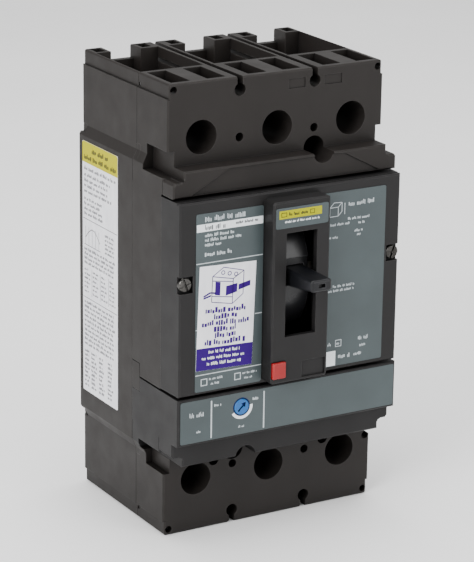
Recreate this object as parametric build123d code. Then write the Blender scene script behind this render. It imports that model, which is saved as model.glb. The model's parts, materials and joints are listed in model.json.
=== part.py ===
"""Three-pole molded case breaker: every piece as its own solid, millimetres, +Z up.

X runs across the poles, Y runs from the front (negative) to the mounting face (zero),
and Z runs from the load end (negative) to the line end (positive). "Depth" means -Y.
"""
from build123d import *
import os
from math import cos, sin, radians, hypot

# ---- driving dimensions -------------------------------------------------------------
POLE_PITCH = 35.0
POLES = {"left": -POLE_PITCH, "centre": 0.0, "right": POLE_PITCH}

HALF_HEIGHT = 95.5            # case ends
END_STEP_Z = 89.5             # where the end walls step in
END_STEP = 0.8
MID_HALF_W = 52.2             # case half width over the contact chambers
END_HALF_W = 50.3             # case half width over the terminals
MID_HALF_Z = 60.0             # where the wide middle starts to narrow
TAPER_Z = 64.0                # where it reaches the end width

PART_D = 47.5                 # depth of the rear case parting plane
LINE_D = 72.8                 # front of the line terminal block
LOAD_D = 70.8                 # front of the load terminal block
SEAT_D = 71.4                 # seat of the accessory cover
APRON_D = 81.4                # front of the two stepped aprons
COVER_D = 86.0                # front of the accessory cover and trip unit
NOSE_D = 93.5                 # front of the raised nose

APRON_Z = 51.3                # inner edge of the aprons
APRON_STEP_Z = 57.7           # where an apron narrows
APRON_END_Z = 62.0            # outer edge of the aprons
APRON_HALF_W = 47.3           # apron half width past the step
APRON_BEVEL = 1.5             # in the step's inner corner
APRON_SKIN = 2.5
APRON_RECESS = 0.8            # shallow tapered recess in the line apron
APRON_RECESS_HALF_W = (44.0, 27.0)
APRON_RECESS_Z = (52.0, 61.0)
APRON_HOLLOW_Z = 53.3         # hollows in the line apron: start, then X from, to, and Z end
APRON_HOLLOWS = ((-12.4, 10.6, 59.8), (-45.0, -16.0, 57.6), (25.0, 45.0, 57.6))
CORNER_RECESS = (57.9, 68.3)  # corner recesses along Z
RECESS_FLOOR_D = (56.0, 53.0) # their floor in the terminal blocks and in the trip unit
COVER_Z = (-30.0, 50.4)       # accessory cover along Z
UNIT_Z = (-51.3, -31.2)       # trip unit face along Z
UNIT_GAP = 0.1                # seam between the trip unit and its neighbours
UNIT_WALL = 2.0
UNIT_SKIN = 2.2
UNIT_HOLLOW_X = 45.0
TAB_Z = -37.0                 # foot of the front case's side tab
TAB_D = 54.0                  # depth of that tab
TAB_TOP_Z = -25.0             # the tab's outline runs up to here
GROOVE = 0.3                  # moulded outline grooves
JOG_D = 50.5                  # rear case's corner tongues rise past the parting plane
JOG_Z = (60.0, 66.5)
EDGE = 0.6                    # broken front edges of the case and cover
SEAM_EDGE = 0.25              # broken edges along the parting plane
CORNER_R = 0.8                # upright corners of the case
NOSE_X = 13.3
NOSE_Z = (-28.5, 47.9)
NOSE_CORNER_R = 1.2
NOSE_INSIDE = (11.3, -16.5)   # its hollow: half width, foot
SKIRT_LEAN = 0.5
COVER_GROOVE_D = (83.8, 84.6) # groove along the cover's top wall
SLOT_HALF_W = 7.2
SLOT_Z = (-8.9, 34.7)

WALL = 2.3                    # outer walls
SKIN = 1.5                    # thin molded walls
FLOOR = 5.0                   # back wall behind the contact chambers
BAY_FLOOR = 3.0               # back wall behind the terminals
CHAMBER_HALF_W = 14.9         # contact chamber half width
CHAMBER_HALF_Z = 58.0
POCKET_X = 18.6               # accessory pockets start this far out
POCKET_OUTER_X = 50.6         # and end here
POCKET_FLOOR = 4.5
SEAT_LIP = 0.4
BAY_Z = 62.0                  # inner end of the terminal bays
BAY_OUTER_X = 48.8            # inside of the outer terminal wall
BAY_INNER_X = 15.0            # inside of the partitions, centre pole side
BAY_PARTITION_X = 20.0        # inside of the partitions, outer pole side
BARRIER_HALF_W = 1.3          # slot between the double partitions
BARRIER_Z = 90.2              # inner end of the barrier slot
BARRIER_EYE_R = 2.6
BAY_SCREEN = 3.0              # thickness behind the terminal faces
FACE_HOLLOW_Z = (63.6, 79.6)  # hollow behind a terminal face
FACE_HOLLOW_HALF_W = 12.6
END_POCKET_Z = 82.0           # inner end of the pockets at the case end
END_POCKETS = ((-12.3, -3.7), (3.9, 12.4))   # X of the two pockets about a pole
END_POCKET_SKIN = (2.5, 2.8)  # behind and in front of those pockets
PLUG_HOLE = (47.6, 93.0, 1.5)          # blind corner holes: X, Z, radius
PLUG_HOLE_DEPTH = 6.0
LOAD_WELLS = ((-26.5, -66.2, 2.3), (26.5, -66.2, 2.3), (48.0, -68.6, 1.7))   # X, Z, radius
LOAD_WELL_DEPTH = 7.0
PRY_NOTCH_Z = (90.0, 91.5)    # pry notches in the end walls at the parting plane
PRY_NOTCH_DEPTH = 2.0
PRY_NOTCH_H = 1.6
FIELD_Z = (88.0, 92.0)        # shallow marking fields on the line end
FIELD_X = ((5.2, 13.0), (22.0, 30.4))
FIELD_DEPTH = 0.4
POST_D = 9.5                  # depth of the hollow corner posts
POST_W = 7.0
POST_DROP = 5.5               # how far the bay's back wall stops short
POST_HOLLOW_X = 3.6           # middle of a post's hollow, past the post's face
POST_HOLLOW_HALF_W = 2.2
REAR_NOTCH = (0.4, 4.0, 61.0, 64.6)    # rear edge notches: inset, depth, Z from, to

MOUNT_X = 17.5                # mounting holes, diagonal pair
MOUNT_Z = 62.5
MOUNT_R = 2.75
MOUNT_SINK_R = 4.8
BOSS_R = 5.2

CASE_SCREWS = [(-MOUNT_X, 70.8), (MOUNT_X, 70.8), (-MOUNT_X, -69.3), (MOUNT_X, -69.3)]
CASE_SCREW_R = 1.0
CASE_SCREW_HEAD_R = 1.7
CASE_SCREW_D = (28.0, 60.0)
CASE_SCREW_HEAD = 2.0
CASE_SCREW_GAP = 0.1
CASE_SCREW_SLOT = (2.0, 0.3, 0.8)      # half length, half width, depth

ACCESS_Z = 72.8               # screwdriver holes over the lugs
ACCESS_R = 7.0
ACCESS_TUBE_R = 8.6
SINK_TUBE_R = 6.4             # tube round a mounting screw well
HOLLOW_HALF_W = 45.6          # hollows behind the terminal faces stay inside this

LUG_HALF_W = 11.5
LUG_Z = (64.5, 82.0)
LUG_D = (13.0, 41.0)
CABLE_R = 7.2
CABLE_D = 26.0
LUG_SCREW_R = 5.4
LUG_SCREW_GAP = 0.07
LUG_SCREW_D = (33.6, 44.6)
HEX_R = 3.1
HEX_DEPTH = 5.0
LUG_EDGE = 1.0
LUG_SCREW_POINT = 0.8

STRAP_D = (9.9, 12.9)         # copper straps against the back of the lugs
STRAP_HALF_W = 7.5
STRAP_T = 3.0
LOOP_D = (39.9, 42.9)         # line strap's fixed contact leg
LOOP_Z = (19.0, 47.0)         # that leg along Z
LINE_PAD_Z = (19.5, 26.0)
LOAD_STRAP_Z = (-49.4, -30.0, -17.0)   # load strap: foot, end of its contact leg, top
LOAD_PAD_Z = (-26.0, -20.5)
PAD_T = 2.0
PAD_HALF_W = 3.0
HEATER_HALF_W = 4.0
HEATER_Z = (-56.4, -47.4)
HEATER_T = 1.5
HEATER_D = 66.0
BIMETAL = (3.0, 1.2, -56.0, -38.0)     # half width, thickness, Z from, to
YOKE_IRON = (6.6, 50.5, 60.0, -59.6, -47.6)   # magnet yoke: half width, depths, Z
YOKE_IRON_T = 1.6

CHUTE_PLATES = 7              # arc splitter plates at each contact
CHUTE_FIRST_D = 16.4
CHUTE_STEP = 3.2
CHUTE_T = 1.2
CHUTE_HALF_W = 9.5
CHUTE_Z = (26.6, 41.0)
CHUTE_NOTCH = (3.4, 33.0)     # half width at the mouth, Z of its point

ROTOR_D = 29.0                # rotor axis depth, at Z = 0
ROTOR_R = 11.0
ROTOR_HALF_W = 6.6
JOURNAL_R = 4.0
JOURNAL_HALF_W = 14.2
CRANK_R = 13.5                # rotor axis to crosspin
CRANK_ON_DEG = -40.0          # crosspin angle from the depth axis when closed
WINDOW_STEPS = 6              # straight pieces of the window that the crosspin sweeps
CROSSPIN_R = 1.8
CROSSPIN_ROOM = 1.0           # space round the crosspin's sweep
BLADE_ON_DEG = 12.3           # blade lean towards the front when closed
BLADE_HALF_L = 24.0
BLADE_HALF_T = 2.0
BLADE_HALF_W = 2.9
BLADE_GAP = 0.15              # round the blade in its rotor
TIP_T = 1.5                   # silver tips
TIP_HALF_W = 2.6
TIP_L = 5.5
CRANK_WALL = 2.0
CROSSPIN_END = 9.0            # past the middle of the outer poles

HANDLE_D = 57.0               # handle pivot depth and height
HANDLE_Z = 13.0
HANDLE_REST_DEG = 3.5         # tripped position, leaning up from the depth axis
HANDLE_ON_DEG = 17.5          # travel from tripped to ON
HANDLE_OFF_DEG = -24.5        # travel from tripped to OFF
ROTOR_RATIO = 0.952           # rotor turn for each turn of the handle
HANDLE_TIP_R = 52.3
HANDLE_HALF_W = 4.9
HANDLE_ROOT = 4.1             # half thickness of its hole in the shield
HANDLE_NECK = 3.7             # half thickness past the shield, and at the tip
HANDLE_TIP = 2.4
HANDLE_GAP = 0.05
TIP_ROUND = (1.1, 1.3)
DIMPLE = (1.6, 0.8, 1.6)      # in the tip: half width, half height, depth
SHIELD_R = 31.5
SHIELD_T = 1.3
SHIELD_DEG = 53.0
SHIELD_STEP_DEG = 10.0
SHIELD_RECESS = 7.0           # recess above the handle's root

LINK_TOP_D = 58.0             # upper toggle pivot
LINK_TOP_Z = 33.0
UPPER_LINK = 18.0
UPPER_LINK_DEG = -67.49       # link angles at rest, from the depth axis
LINK_PIN_R = 1.5
LINK_WALL = 1.1               # round the pins
KNEE_PLAY = 0.95

CARTRIDGE_HALF_W = 14.6
CARTRIDGE_HALF_Z = 44.0
CARTRIDGE_D = (5.3, 46.9)
CARTRIDGE_T = 1.5
CARTRIDGE_SEAM = 0.02         # half the gap between its two shells
LINK_WINDOW = (11.0, -15.0, 11.0)      # opening for the links: half width, Z from, to
VENTS = (1.5, 6.0, 20.0, 34.0)         # arc gas vents: half width, pitch, depths

PLATE_X = (12.0, 13.5)        # mechanism side plates, between these half widths
PLATE_OUTLINE = [(48.0, -26.0), (56.0, -26.0), (58.0, -18.0), (70.0, -5.0), (75.0, 4.0),
                 (75.0, 22.0), (70.0, 40.0), (62.0, 47.5), (48.0, 47.5)]    # depth and Z
PLATE_HOLE = (62.0, -12.0, 4.0)        # lightening hole: depth, Z, radius
MECHANISM_PINS = [(51.5, -21.0), (52.0, 44.5)]   # depth and Z
MECHANISM_PIN_R = 1.6
MECHANISM_PIN_HALF_L = 17.6
MECHANISM_BAY = (16.4, -28.2, 48.6)    # half width, Z from, to
HANDLE_PIN_R = 2.4
CRADLE_PIVOT = (51.5, 38.0)   # depth and Z
CRADLE_PIN_R = 1.7
CRADLE_HALF_T = 2.2
CRADLE_EYE_R = 4.0
CRADLE_NOTCH_R = 2.5
CRADLE_OUTLINE = [(51.5, 42.0), (59.5, 40.0), (67.5, 36.0), (70.5, 34.0), (69.5, 31.8), (66.0, 33.0),
                  (62.0, 31.5), (58.0, 30.2), (54.0, 31.5), (48.5, 36.5)]   # depth and Z
YOKE_X = (9.9, 11.3)          # handle yoke's legs, between these half widths
YOKE_R = (24.6, 26.4)         # its bridge, distance from the pivot
YOKE_HALF_Z = 3.2
YOKE_EYE_R = 4.2
SPRING_R = 1.7
SPRING_WIRE_R = 0.35
SPRING_COILS = 8
SPRING_X = 2.6
UPPER_LINK_X = (5.0, 6.4)     # toggle links, between these half widths
LOWER_LINK_X = (7.0, 8.4)

TRIP_BAR_D = 63.0
TRIP_BAR_Z = -42.0
TRIP_BAR_R = 2.4
TRIP_BAR_HALF_W = 46.0
TRIP_BAR_HALF_L = 49.7        # over its journals
TRIP_TAB_RISE = 2.5           # how far its tab reaches past the button's middle
PADDLE_HALF_W = 3.0
PADDLE_HALF_T = 0.8
PADDLE_H = 6.5
FLAT_HALF_W = 2.2
ARMATURE_SEAT = 1.4
ARMATURE = (6.4, 50.6, 60.3, -45.2, -44.0, 2.1, -41.0)   # half width, depths, Z, neck half width, top
JOURNAL_TRIP_R = 1.5
CHEEK_X = 46.3                # bearing walls of the trip bar
CHEEK_D = (56.0, 70.0)
TRIP_TAB_HALF_W = 4.2         # passage for the trip bar's button tab
TRIP_TAB_D = 57.0

BUTTON_X = -9.9
BUTTON_Z = -22.6
BUTTON_HALF_W = 3.1
BUTTON_HALF_H = 3.5
BUTTON_STEM_R = 1.3
BUTTON_HEAD_D = (90.2, 94.6)
BUTTON_GUIDE_D = COVER_D - 1.5
BUTTON_CORNER_R = 0.6
BUTTON_EDGE = 0.4
BUTTON_SPRING = (0.25, 2.1, 4)         # wire radius, coil radius, coils
BUTTON_GAP = 0.1              # between the button's head and its hole
DIAL_X = -22.6
DIAL_Z = -38.4
DIAL_R = 3.4
DIAL_GAP = 0.08
DIAL_FACE_D = COVER_D + 0.5
DIAL_BACK_D = COVER_D - 4.8
DIAL_EDGE = 0.3
DIAL_REST_DEG = 45.0          # where the arrow points at rest
DIAL_STEM = (1.5, 74.0)       # radius, depth of its end
DIAL_SLOT = (0.4, -2.4, 1.2, 0.9)     # arrow's half width, Z from, to, depth
DIAL_HEAD = (1.35, 0.8, 2.7)   # arrow head's half width, foot and point
SCREW_X = 48.9
SCREW_Z = 17.0
SCREW_HEAD_R = 2.9
SCREW_SHANK_R = 0.8
SCREW_SEAT_D = COVER_D - 2.0  # under the head
SCREW_TIP_D = 68.5
SCREW_FACE_D = COVER_D - 0.3  # front of the head
SCREW_EDGE = 0.35
SCREW_CROSS = ((0.5, 4.0, 1.0), (4.0, 0.4, 0.5))   # the two slots: half X, half Z, depth
SCREW_CROSS_DEG = 20.0
NOTCH_X = 45.7                # the cover's corner notch and post round each screw
NOTCH_HALF_Z = 3.5
COVER_INSIDE_X = 49.7         # inside of the cover's skirts
UNIT_INSIDE_X = 49.9          # inside of the trip unit's walls

PLATE_T = 0.5                 # name plates
PLATE_PROUD = 0.15
LEFT_PLATE = (-44.5, -13.6, -28.8, 45.5)
RIGHT_PLATE = (13.6, 44.7, -28.2, 46.4)
NOSE_PLATE = (-12.4, 12.2, 36.9, 45.4)
UNIT_PLATE = (-51.0, 51.3, -50.2, -32.2)
RATING_WINDOW = (1.2, 12.2, -27.3, -20.3)
RATING_DEPTH = 0.7
PLATE_R = 0.8                 # corners of the plates and labels
STICKER = (26.0, 43.6, -30.5, 1.6, 2.0)   # width, height, centre X, centre Z, tilt in degrees
SIDE_LABEL = (3.5, 34.8, -51.8, 58.0)   # depth from, to, Z from, to
LABEL_T = 0.1
CLEAR = 0.3                   # gap between pieces that only pass each other
RUN = 0.06                    # radial running clearance of pins in their holes
OVER = 1.0                    # cutters reach this far past the faces they open
FAR = 60.0                    # half size of cutters wider than the case


# ---- helpers ------------------------------------------------------------------------
def block(x0, x1, d0, d1, z0, z1):
    """Box between two X values, two depths and two heights."""
    centre = ((x0 + x1) / 2, -(d0 + d1) / 2, (z0 + z1) / 2)
    return Pos(*centre) * Box(abs(x1 - x0), abs(d1 - d0), abs(z1 - z0))


def rod_y(r, x, z, d0, d1):
    """Cylinder along the depth."""
    return Pos(x, -(d0 + d1) / 2, z) * Rot(90, 0, 0) * Cylinder(r, abs(d1 - d0))


def rod_x(r, d, z, x0, x1):
    """Cylinder across the poles."""
    return Pos((x0 + x1) / 2, -d, z) * Rot(0, 90, 0) * Cylinder(r, abs(x1 - x0))


def rod_z(r, x, d, z0, z1):
    """Upright cylinder."""
    return Pos(x, -d, (z0 + z1) / 2) * Cylinder(r, abs(z1 - z0))


def side_plate(points, x0, x1):
    """Plate with an outline of (depth, z) points, between two X values."""
    outline = make_face(Polyline([(0, -d, z) for d, z in points], close=True))
    return extrude(outline, amount=x1 - x0, dir=(1, 0, 0)).translate((x0, 0, 0))


def front_plate(points, d0, d1):
    """Plate with an outline of (x, z) points, between two depths."""
    outline = make_face(Polyline([(x, -d0, z) for x, z in points], close=True))
    return extrude(outline, amount=d1 - d0, dir=(0, -1, 0))


def bar_between(a, b, half_width, x0, x1):
    """Round-ended link between two (depth, z) centres."""
    length = hypot(b[0] - a[0], b[1] - a[1])
    along = ((b[0] - a[0]) / length, (b[1] - a[1]) / length)
    side = (-along[1] * half_width, along[0] * half_width)
    corners = [(a[0] + side[0], a[1] + side[1]), (b[0] + side[0], b[1] + side[1]),
               (b[0] - side[0], b[1] - side[1]), (a[0] - side[0], a[1] - side[1])]
    link = side_plate(corners, x0, x1)
    link += rod_x(half_width, a[0], a[1], x0, x1)
    return link + rod_x(half_width, b[0], b[1], x0, x1)


def polar(centre, radius, angle_deg):
    """Point at an angle above the depth axis, as (depth, z)."""
    angle = radians(angle_deg)
    return centre[0] + radius * cos(angle), centre[1] + radius * sin(angle)


def mirrored(shape):
    """The same shape on both sides of the centre pole."""
    return [shape, mirror(shape, about=Plane.YZ)]


def group(solids):
    """Separate solids that share one node."""
    flat = []
    for item in solids:
        flat += list(item.solids())
    return Compound(children=flat)


def save(shape, name):
    export_step(shape, f"parts/{name}.step")


# ---- shared outlines ----------------------------------------------------------------
def case_outline(d0, d1):
    """Outer shape of the case: wide middle, narrower terminal ends."""
    upper = [(MID_HALF_W, MID_HALF_Z), (END_HALF_W, TAPER_Z), (END_HALF_W, END_STEP_Z),
             (END_HALF_W - END_STEP, END_STEP_Z), (END_HALF_W - END_STEP, HALF_HEIGHT)]
    right = [(x, -z) for x, z in reversed(upper)] + upper
    left = [(-x, z) for x, z in reversed(right)]
    body = front_plate(right + left, d0, d1)
    corners = body.edges().filter_by(Axis.Y).filter_by(lambda edge: abs(edge.center().Z) > END_STEP_Z + 1)
    return fillet(corners, CORNER_R)


def front_edges(shape):
    """Edges round the frontmost face."""
    return shape.faces().sort_by(Axis.Y)[0].edges()


def rear_edges(shape):
    """Edges round the rearmost face."""
    return shape.faces().sort_by(Axis.Y)[-1].edges()


def corner_tongues(sign):
    """Tongues of the rear case that rise past the parting plane beside the taper."""
    outside = case_outline(PART_D, JOG_D)
    tongues = []
    for side in (-1, 1):
        tongues.append(outside & block(side * BAY_OUTER_X, side * (MID_HALF_W + OVER), PART_D, JOG_D,
                                       sign * JOG_Z[0], sign * JOG_Z[1]))
    return tongues


def apron(sign):
    """Stepped apron in front of a terminal block, sign +1 at the line end."""
    outline = [(MID_HALF_W, APRON_Z), (MID_HALF_W, APRON_STEP_Z - 1), (MID_HALF_W - 1, APRON_STEP_Z),
               (APRON_HALF_W + APRON_BEVEL, APRON_STEP_Z), (APRON_HALF_W, APRON_STEP_Z + APRON_BEVEL),
               (APRON_HALF_W, APRON_END_Z)]
    outline += [(-x, z) for x, z in reversed(outline)]
    base = LINE_D if sign > 0 else LOAD_D
    plate = front_plate([(x, sign * z) for x, z in outline], base, APRON_D)
    return chamfer(front_edges(plate), EDGE)


def corner_recesses(sign, floor_d):
    """Side recesses beside an apron, open to the front."""
    z0, z1 = CORNER_RECESS
    cuts = []
    for side in (-1, 1):
        cuts.append(block(side * APRON_HALF_W, side * (MID_HALF_W + 1), floor_d, APRON_D + 1,
                          sign * z0, sign * z1))
    return cuts


def bay_limits(pole):
    """X limits of a terminal bay."""
    if pole == "left":
        return -BAY_OUTER_X, -BAY_PARTITION_X
    if pole == "right":
        return BAY_PARTITION_X, BAY_OUTER_X
    return -BAY_INNER_X, BAY_INNER_X


def barrier_slots(sign, d0, d1):
    """Slots for phase barriers, with a round eye at the inner end."""
    cuts = []
    for x in (-MOUNT_X, MOUNT_X):
        cuts.append(block(x - BARRIER_HALF_W, x + BARRIER_HALF_W, d0, d1,
                          sign * BARRIER_Z, sign * (HALF_HEIGHT + 1)))
        cuts.append(rod_y(BARRIER_EYE_R, x, sign * BARRIER_Z, d0, d1))
    return cuts


def crosspin_centre():
    """Crosspin position at rest, as (depth, z)."""
    return polar((ROTOR_D, 0), CRANK_R, CRANK_ON_DEG + HANDLE_ON_DEG * ROTOR_RATIO)


def crosspin_window(margin):
    """Space swept by the crosspin across all poles, from OFF to ON."""
    first = CRANK_ON_DEG
    last = CRANK_ON_DEG + (HANDLE_ON_DEG - HANDLE_OFF_DEG) * ROTOR_RATIO
    reach = CROSSPIN_R + margin
    shape = None
    for step in range(WINDOW_STEPS):
        a = polar((ROTOR_D, 0), CRANK_R, first + (last - first) * step / WINDOW_STEPS)
        b = polar((ROTOR_D, 0), CRANK_R, first + (last - first) * (step + 1) / WINDOW_STEPS)
        piece = bar_between(a, b, reach, -POLE_PITCH - JOURNAL_HALF_W - 1,
                            POLE_PITCH + JOURNAL_HALF_W + 1)
        shape = piece if shape is None else shape + piece
    return shape


# ---- rear case ----------------------------------------------------------------------
def rear_case():
    body = case_outline(0, PART_D)
    body = chamfer(front_edges(body), SEAM_EDGE)
    body = chamfer(rear_edges(body), EDGE)
    cuts = []
    for pole, x in POLES.items():
        cuts.append(block(x - CHAMBER_HALF_W, x + CHAMBER_HALF_W, FLOOR, PART_D + OVER,
                          -CHAMBER_HALF_Z, CHAMBER_HALF_Z))
        low, high = bay_limits(pole)
        for sign in (-1, 1):
            end = sign * (HALF_HEIGHT + OVER)
            cuts.append(block(low, high, POST_D, PART_D + OVER, sign * BAY_Z, end))
            cuts.append(block(x - POST_W, x + POST_W, BAY_FLOOR, POST_D + OVER, sign * BAY_Z, end))
            cuts.append(block(x - POST_W, x + POST_W, -OVER, POST_D,
                              sign * (HALF_HEIGHT - POST_DROP), end))
            cuts.append(block(x - STRAP_HALF_W - CLEAR, x + STRAP_HALF_W + CLEAR,
                              STRAP_D[0] - CLEAR, STRAP_D[1] + CLEAR,
                              sign * (CHAMBER_HALF_Z - OVER), sign * (BAY_Z + OVER)))
            for side in (-1, 1):
                middle = x + side * (POST_W + POST_HOLLOW_X)
                cuts.append(block(middle - POST_HOLLOW_HALF_W, middle + POST_HOLLOW_HALF_W,
                                  SKIN, POST_D - SKIN, sign * BAY_Z, end))
    for sign in (-1, 1):
        cuts += barrier_slots(sign, -OVER, PART_D + OVER)
    body -= cuts
    for sign in (-1, 1):
        body += rod_y(BOSS_R, sign * MOUNT_X, sign * MOUNT_Z, 0, PART_D)
        body += corner_tongues(sign)
    holes = [rod_y(MOUNT_R, sign * MOUNT_X, sign * MOUNT_Z, -OVER, PART_D + OVER) for sign in (-1, 1)]
    holes += [rod_y(CASE_SCREW_R, x, z, CASE_SCREW_D[0], PART_D + OVER) for x, z in CASE_SCREWS]
    # the crosspin passes through the walls between the poles
    walls = block(-MID_HALF_W + WALL, MID_HALF_W - WALL, FLOOR, PART_D + OVER,
                  -CHAMBER_HALF_Z, CHAMBER_HALF_Z)
    holes.append(crosspin_window(CROSSPIN_ROOM) & walls)
    # small notches in the rear edges, beside the taper
    inset, depth, z0, z1 = REAR_NOTCH
    for side in (-1, 1):
        for sign in (-1, 1):
            holes.append(block(side * (END_HALF_W - inset), side * (MID_HALF_W + OVER), -OVER, depth,
                               sign * z0, sign * z1))
    return body - holes


def case_screws():
    """Slotted screws deep in the round wells beside the access holes."""
    screws = []
    for x, z in CASE_SCREWS:
        top = CASE_SCREW_D[1] + CASE_SCREW_HEAD
        screw = rod_y(CASE_SCREW_R, x, z, CASE_SCREW_D[0], CASE_SCREW_D[1])
        screw += rod_y(CASE_SCREW_HEAD_R, x, z, CASE_SCREW_D[1], top)
        half_w, half_z, depth = CASE_SCREW_SLOT
        screw -= block(x - half_w, x + half_w, top - depth, top + OVER, z - half_z, z + half_z)
        screws.append(screw)
    return group(screws)


# ---- front case (line end and mechanism bay) ----------------------------------------
def terminal_block_cuts(sign, front_d):
    """Holes and pockets that both terminal blocks have."""
    cuts = []
    for x in POLES.values():
        cuts.append(rod_y(ACCESS_R, x, sign * ACCESS_Z, PART_D - OVER, front_d + OVER))
        # hollow behind the face, round the access tube
        x0 = max(x - FACE_HOLLOW_HALF_W, -HOLLOW_HALF_W)
        x1 = min(x + FACE_HOLLOW_HALF_W, HOLLOW_HALF_W)
        hollow = block(x0, x1, PART_D - OVER, front_d - BAY_SCREEN,
                       sign * FACE_HOLLOW_Z[0], sign * FACE_HOLLOW_Z[1])
        hollow -= rod_y(ACCESS_TUBE_R, x, sign * ACCESS_Z, PART_D - OVER, front_d)
        hollow -= rod_y(SINK_TUBE_R, sign * MOUNT_X, sign * MOUNT_Z, PART_D - OVER, front_d)
        cuts.append(hollow)
        # two pockets open at the end of the case, either side of a flat rib
        for x0, x1 in END_POCKETS:
            cuts.append(block(x + x0, x + x1, PART_D + END_POCKET_SKIN[0], front_d - END_POCKET_SKIN[1],
                              sign * END_POCKET_Z, sign * (HALF_HEIGHT + OVER)))
    for x, z in CASE_SCREWS:
        if z * sign > 0:
            cuts.append(rod_y(CASE_SCREW_HEAD_R + CASE_SCREW_GAP, x, z, CASE_SCREW_D[1], front_d + OVER))
            cuts.append(rod_y(CASE_SCREW_R, x, z, PART_D - OVER, CASE_SCREW_D[1] + OVER))
    cuts.append(rod_y(MOUNT_SINK_R, sign * MOUNT_X, sign * MOUNT_Z, PART_D - OVER, APRON_D + OVER))
    for side in (-1, 1):
        x, z, r = PLUG_HOLE
        cuts.append(rod_y(r, side * x, sign * z, front_d - PLUG_HOLE_DEPTH, front_d + OVER))
        # pry notch at the parting plane
        z0, z1 = PRY_NOTCH_Z
        cuts.append(block(side * (END_HALF_W - PRY_NOTCH_DEPTH), side * (END_HALF_W + OVER),
                          PART_D - OVER, PART_D + PRY_NOTCH_H, sign * z0, sign * z1))
    cuts += barrier_slots(sign, PART_D - OVER, front_d + OVER)
    cuts += corner_recesses(sign, RECESS_FLOOR_D[0])
    cuts += corner_tongues(sign)
    return cuts


def terminal_envelope(front_d):
    """Outside of the front half of the case, with broken front and parting edges."""
    body = case_outline(PART_D, front_d)
    body = chamfer(front_edges(body), EDGE)
    return chamfer(rear_edges(body), SEAM_EDGE)


def front_case():
    body = terminal_envelope(LINE_D) & block(-FAR, FAR, PART_D, LINE_D, APRON_Z, HALF_HEIGHT)
    body += block(-MID_HALF_W, MID_HALF_W, PART_D, SEAT_D, COVER_Z[0] - SEAT_LIP, APRON_Z)
    body += block(-MID_HALF_W, MID_HALF_W, PART_D, TAB_D, TAB_Z, COVER_Z[0])
    body += apron(1)
    cuts = terminal_block_cuts(1, LINE_D)
    # apron's shallow tapered recess
    outline = [(x, APRON_RECESS_Z[0]) for x in (-APRON_RECESS_HALF_W[0], APRON_RECESS_HALF_W[0])]
    outline += [(x, APRON_RECESS_Z[1]) for x in (APRON_RECESS_HALF_W[1], -APRON_RECESS_HALF_W[1])]
    cuts.append(front_plate(outline, APRON_D - APRON_RECESS, APRON_D + OVER))
    # shallow recessed fields near the line end
    for x0, x1 in FIELD_X:
        cuts.append(block(x0, x1, LINE_D - FIELD_DEPTH, LINE_D + OVER, FIELD_Z[0], FIELD_Z[1]))
    # apron hollows, open to the rear
    for x0, x1, z1 in APRON_HOLLOWS:
        cuts.append(block(x0, x1, PART_D - OVER, APRON_D - APRON_SKIN, APRON_HOLLOW_Z, z1))
    # mechanism bay over the centre pole, open front and back
    bay_half_w, bay_z0, bay_z1 = MECHANISM_BAY
    cuts.append(block(-bay_half_w, bay_half_w, PART_D - OVER, SEAT_D + OVER, bay_z0, bay_z1))
    # the centre bay stays open down to the trip unit where the trip bar's tab passes
    cuts.append(block(BUTTON_X - TRIP_TAB_HALF_W, BUTTON_X + TRIP_TAB_HALF_W, TRIP_TAB_D,
                      SEAT_D + OVER, UNIT_Z[1] - OVER, bay_z0 + OVER))
    for side in (-1, 1):
        # accessory pockets over the outer poles, where the cover screws end
        cuts.append(block(side * POCKET_X, side * POCKET_OUTER_X, PART_D + POCKET_FLOOR, SEAT_D + OVER,
                          bay_z0, bay_z1))
        # outline of the side tab
        wall, past = side * (MID_HALF_W - GROOVE), side * (MID_HALF_W + OVER)
        cuts.append(block(wall, past, PART_D, TAB_D, TAB_TOP_Z, TAB_TOP_Z + GROOVE))
        cuts.append(block(wall, past, TAB_D - GROOVE, TAB_D, COVER_Z[0] - OVER, TAB_TOP_Z))
    # tab over the trip unit's shoulder is only a skin
    cuts.append(block(-UNIT_INSIDE_X, UNIT_INSIDE_X, PART_D - OVER, TAB_D + OVER, TAB_Z - OVER,
                      UNIT_Z[1] - OVER))
    # wells for the mechanism pins
    for d, z in MECHANISM_PINS:
        cuts.append(rod_x(MECHANISM_PIN_R, d, z, -MECHANISM_PIN_HALF_L, MECHANISM_PIN_HALF_L))
    return body - cuts


# ---- load end case and trip unit ----------------------------------------------------
def load_end_case():
    body = terminal_envelope(LOAD_D) & block(-FAR, FAR, PART_D, LOAD_D, -HALF_HEIGHT,
                                             -APRON_END_Z - UNIT_GAP)
    cuts = terminal_block_cuts(-1, LOAD_D)
    for x, z, r in LOAD_WELLS:
        cuts.append(rod_y(r, x, z, LOAD_D - LOAD_WELL_DEPTH, LOAD_D + OVER))
    return body - cuts


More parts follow.
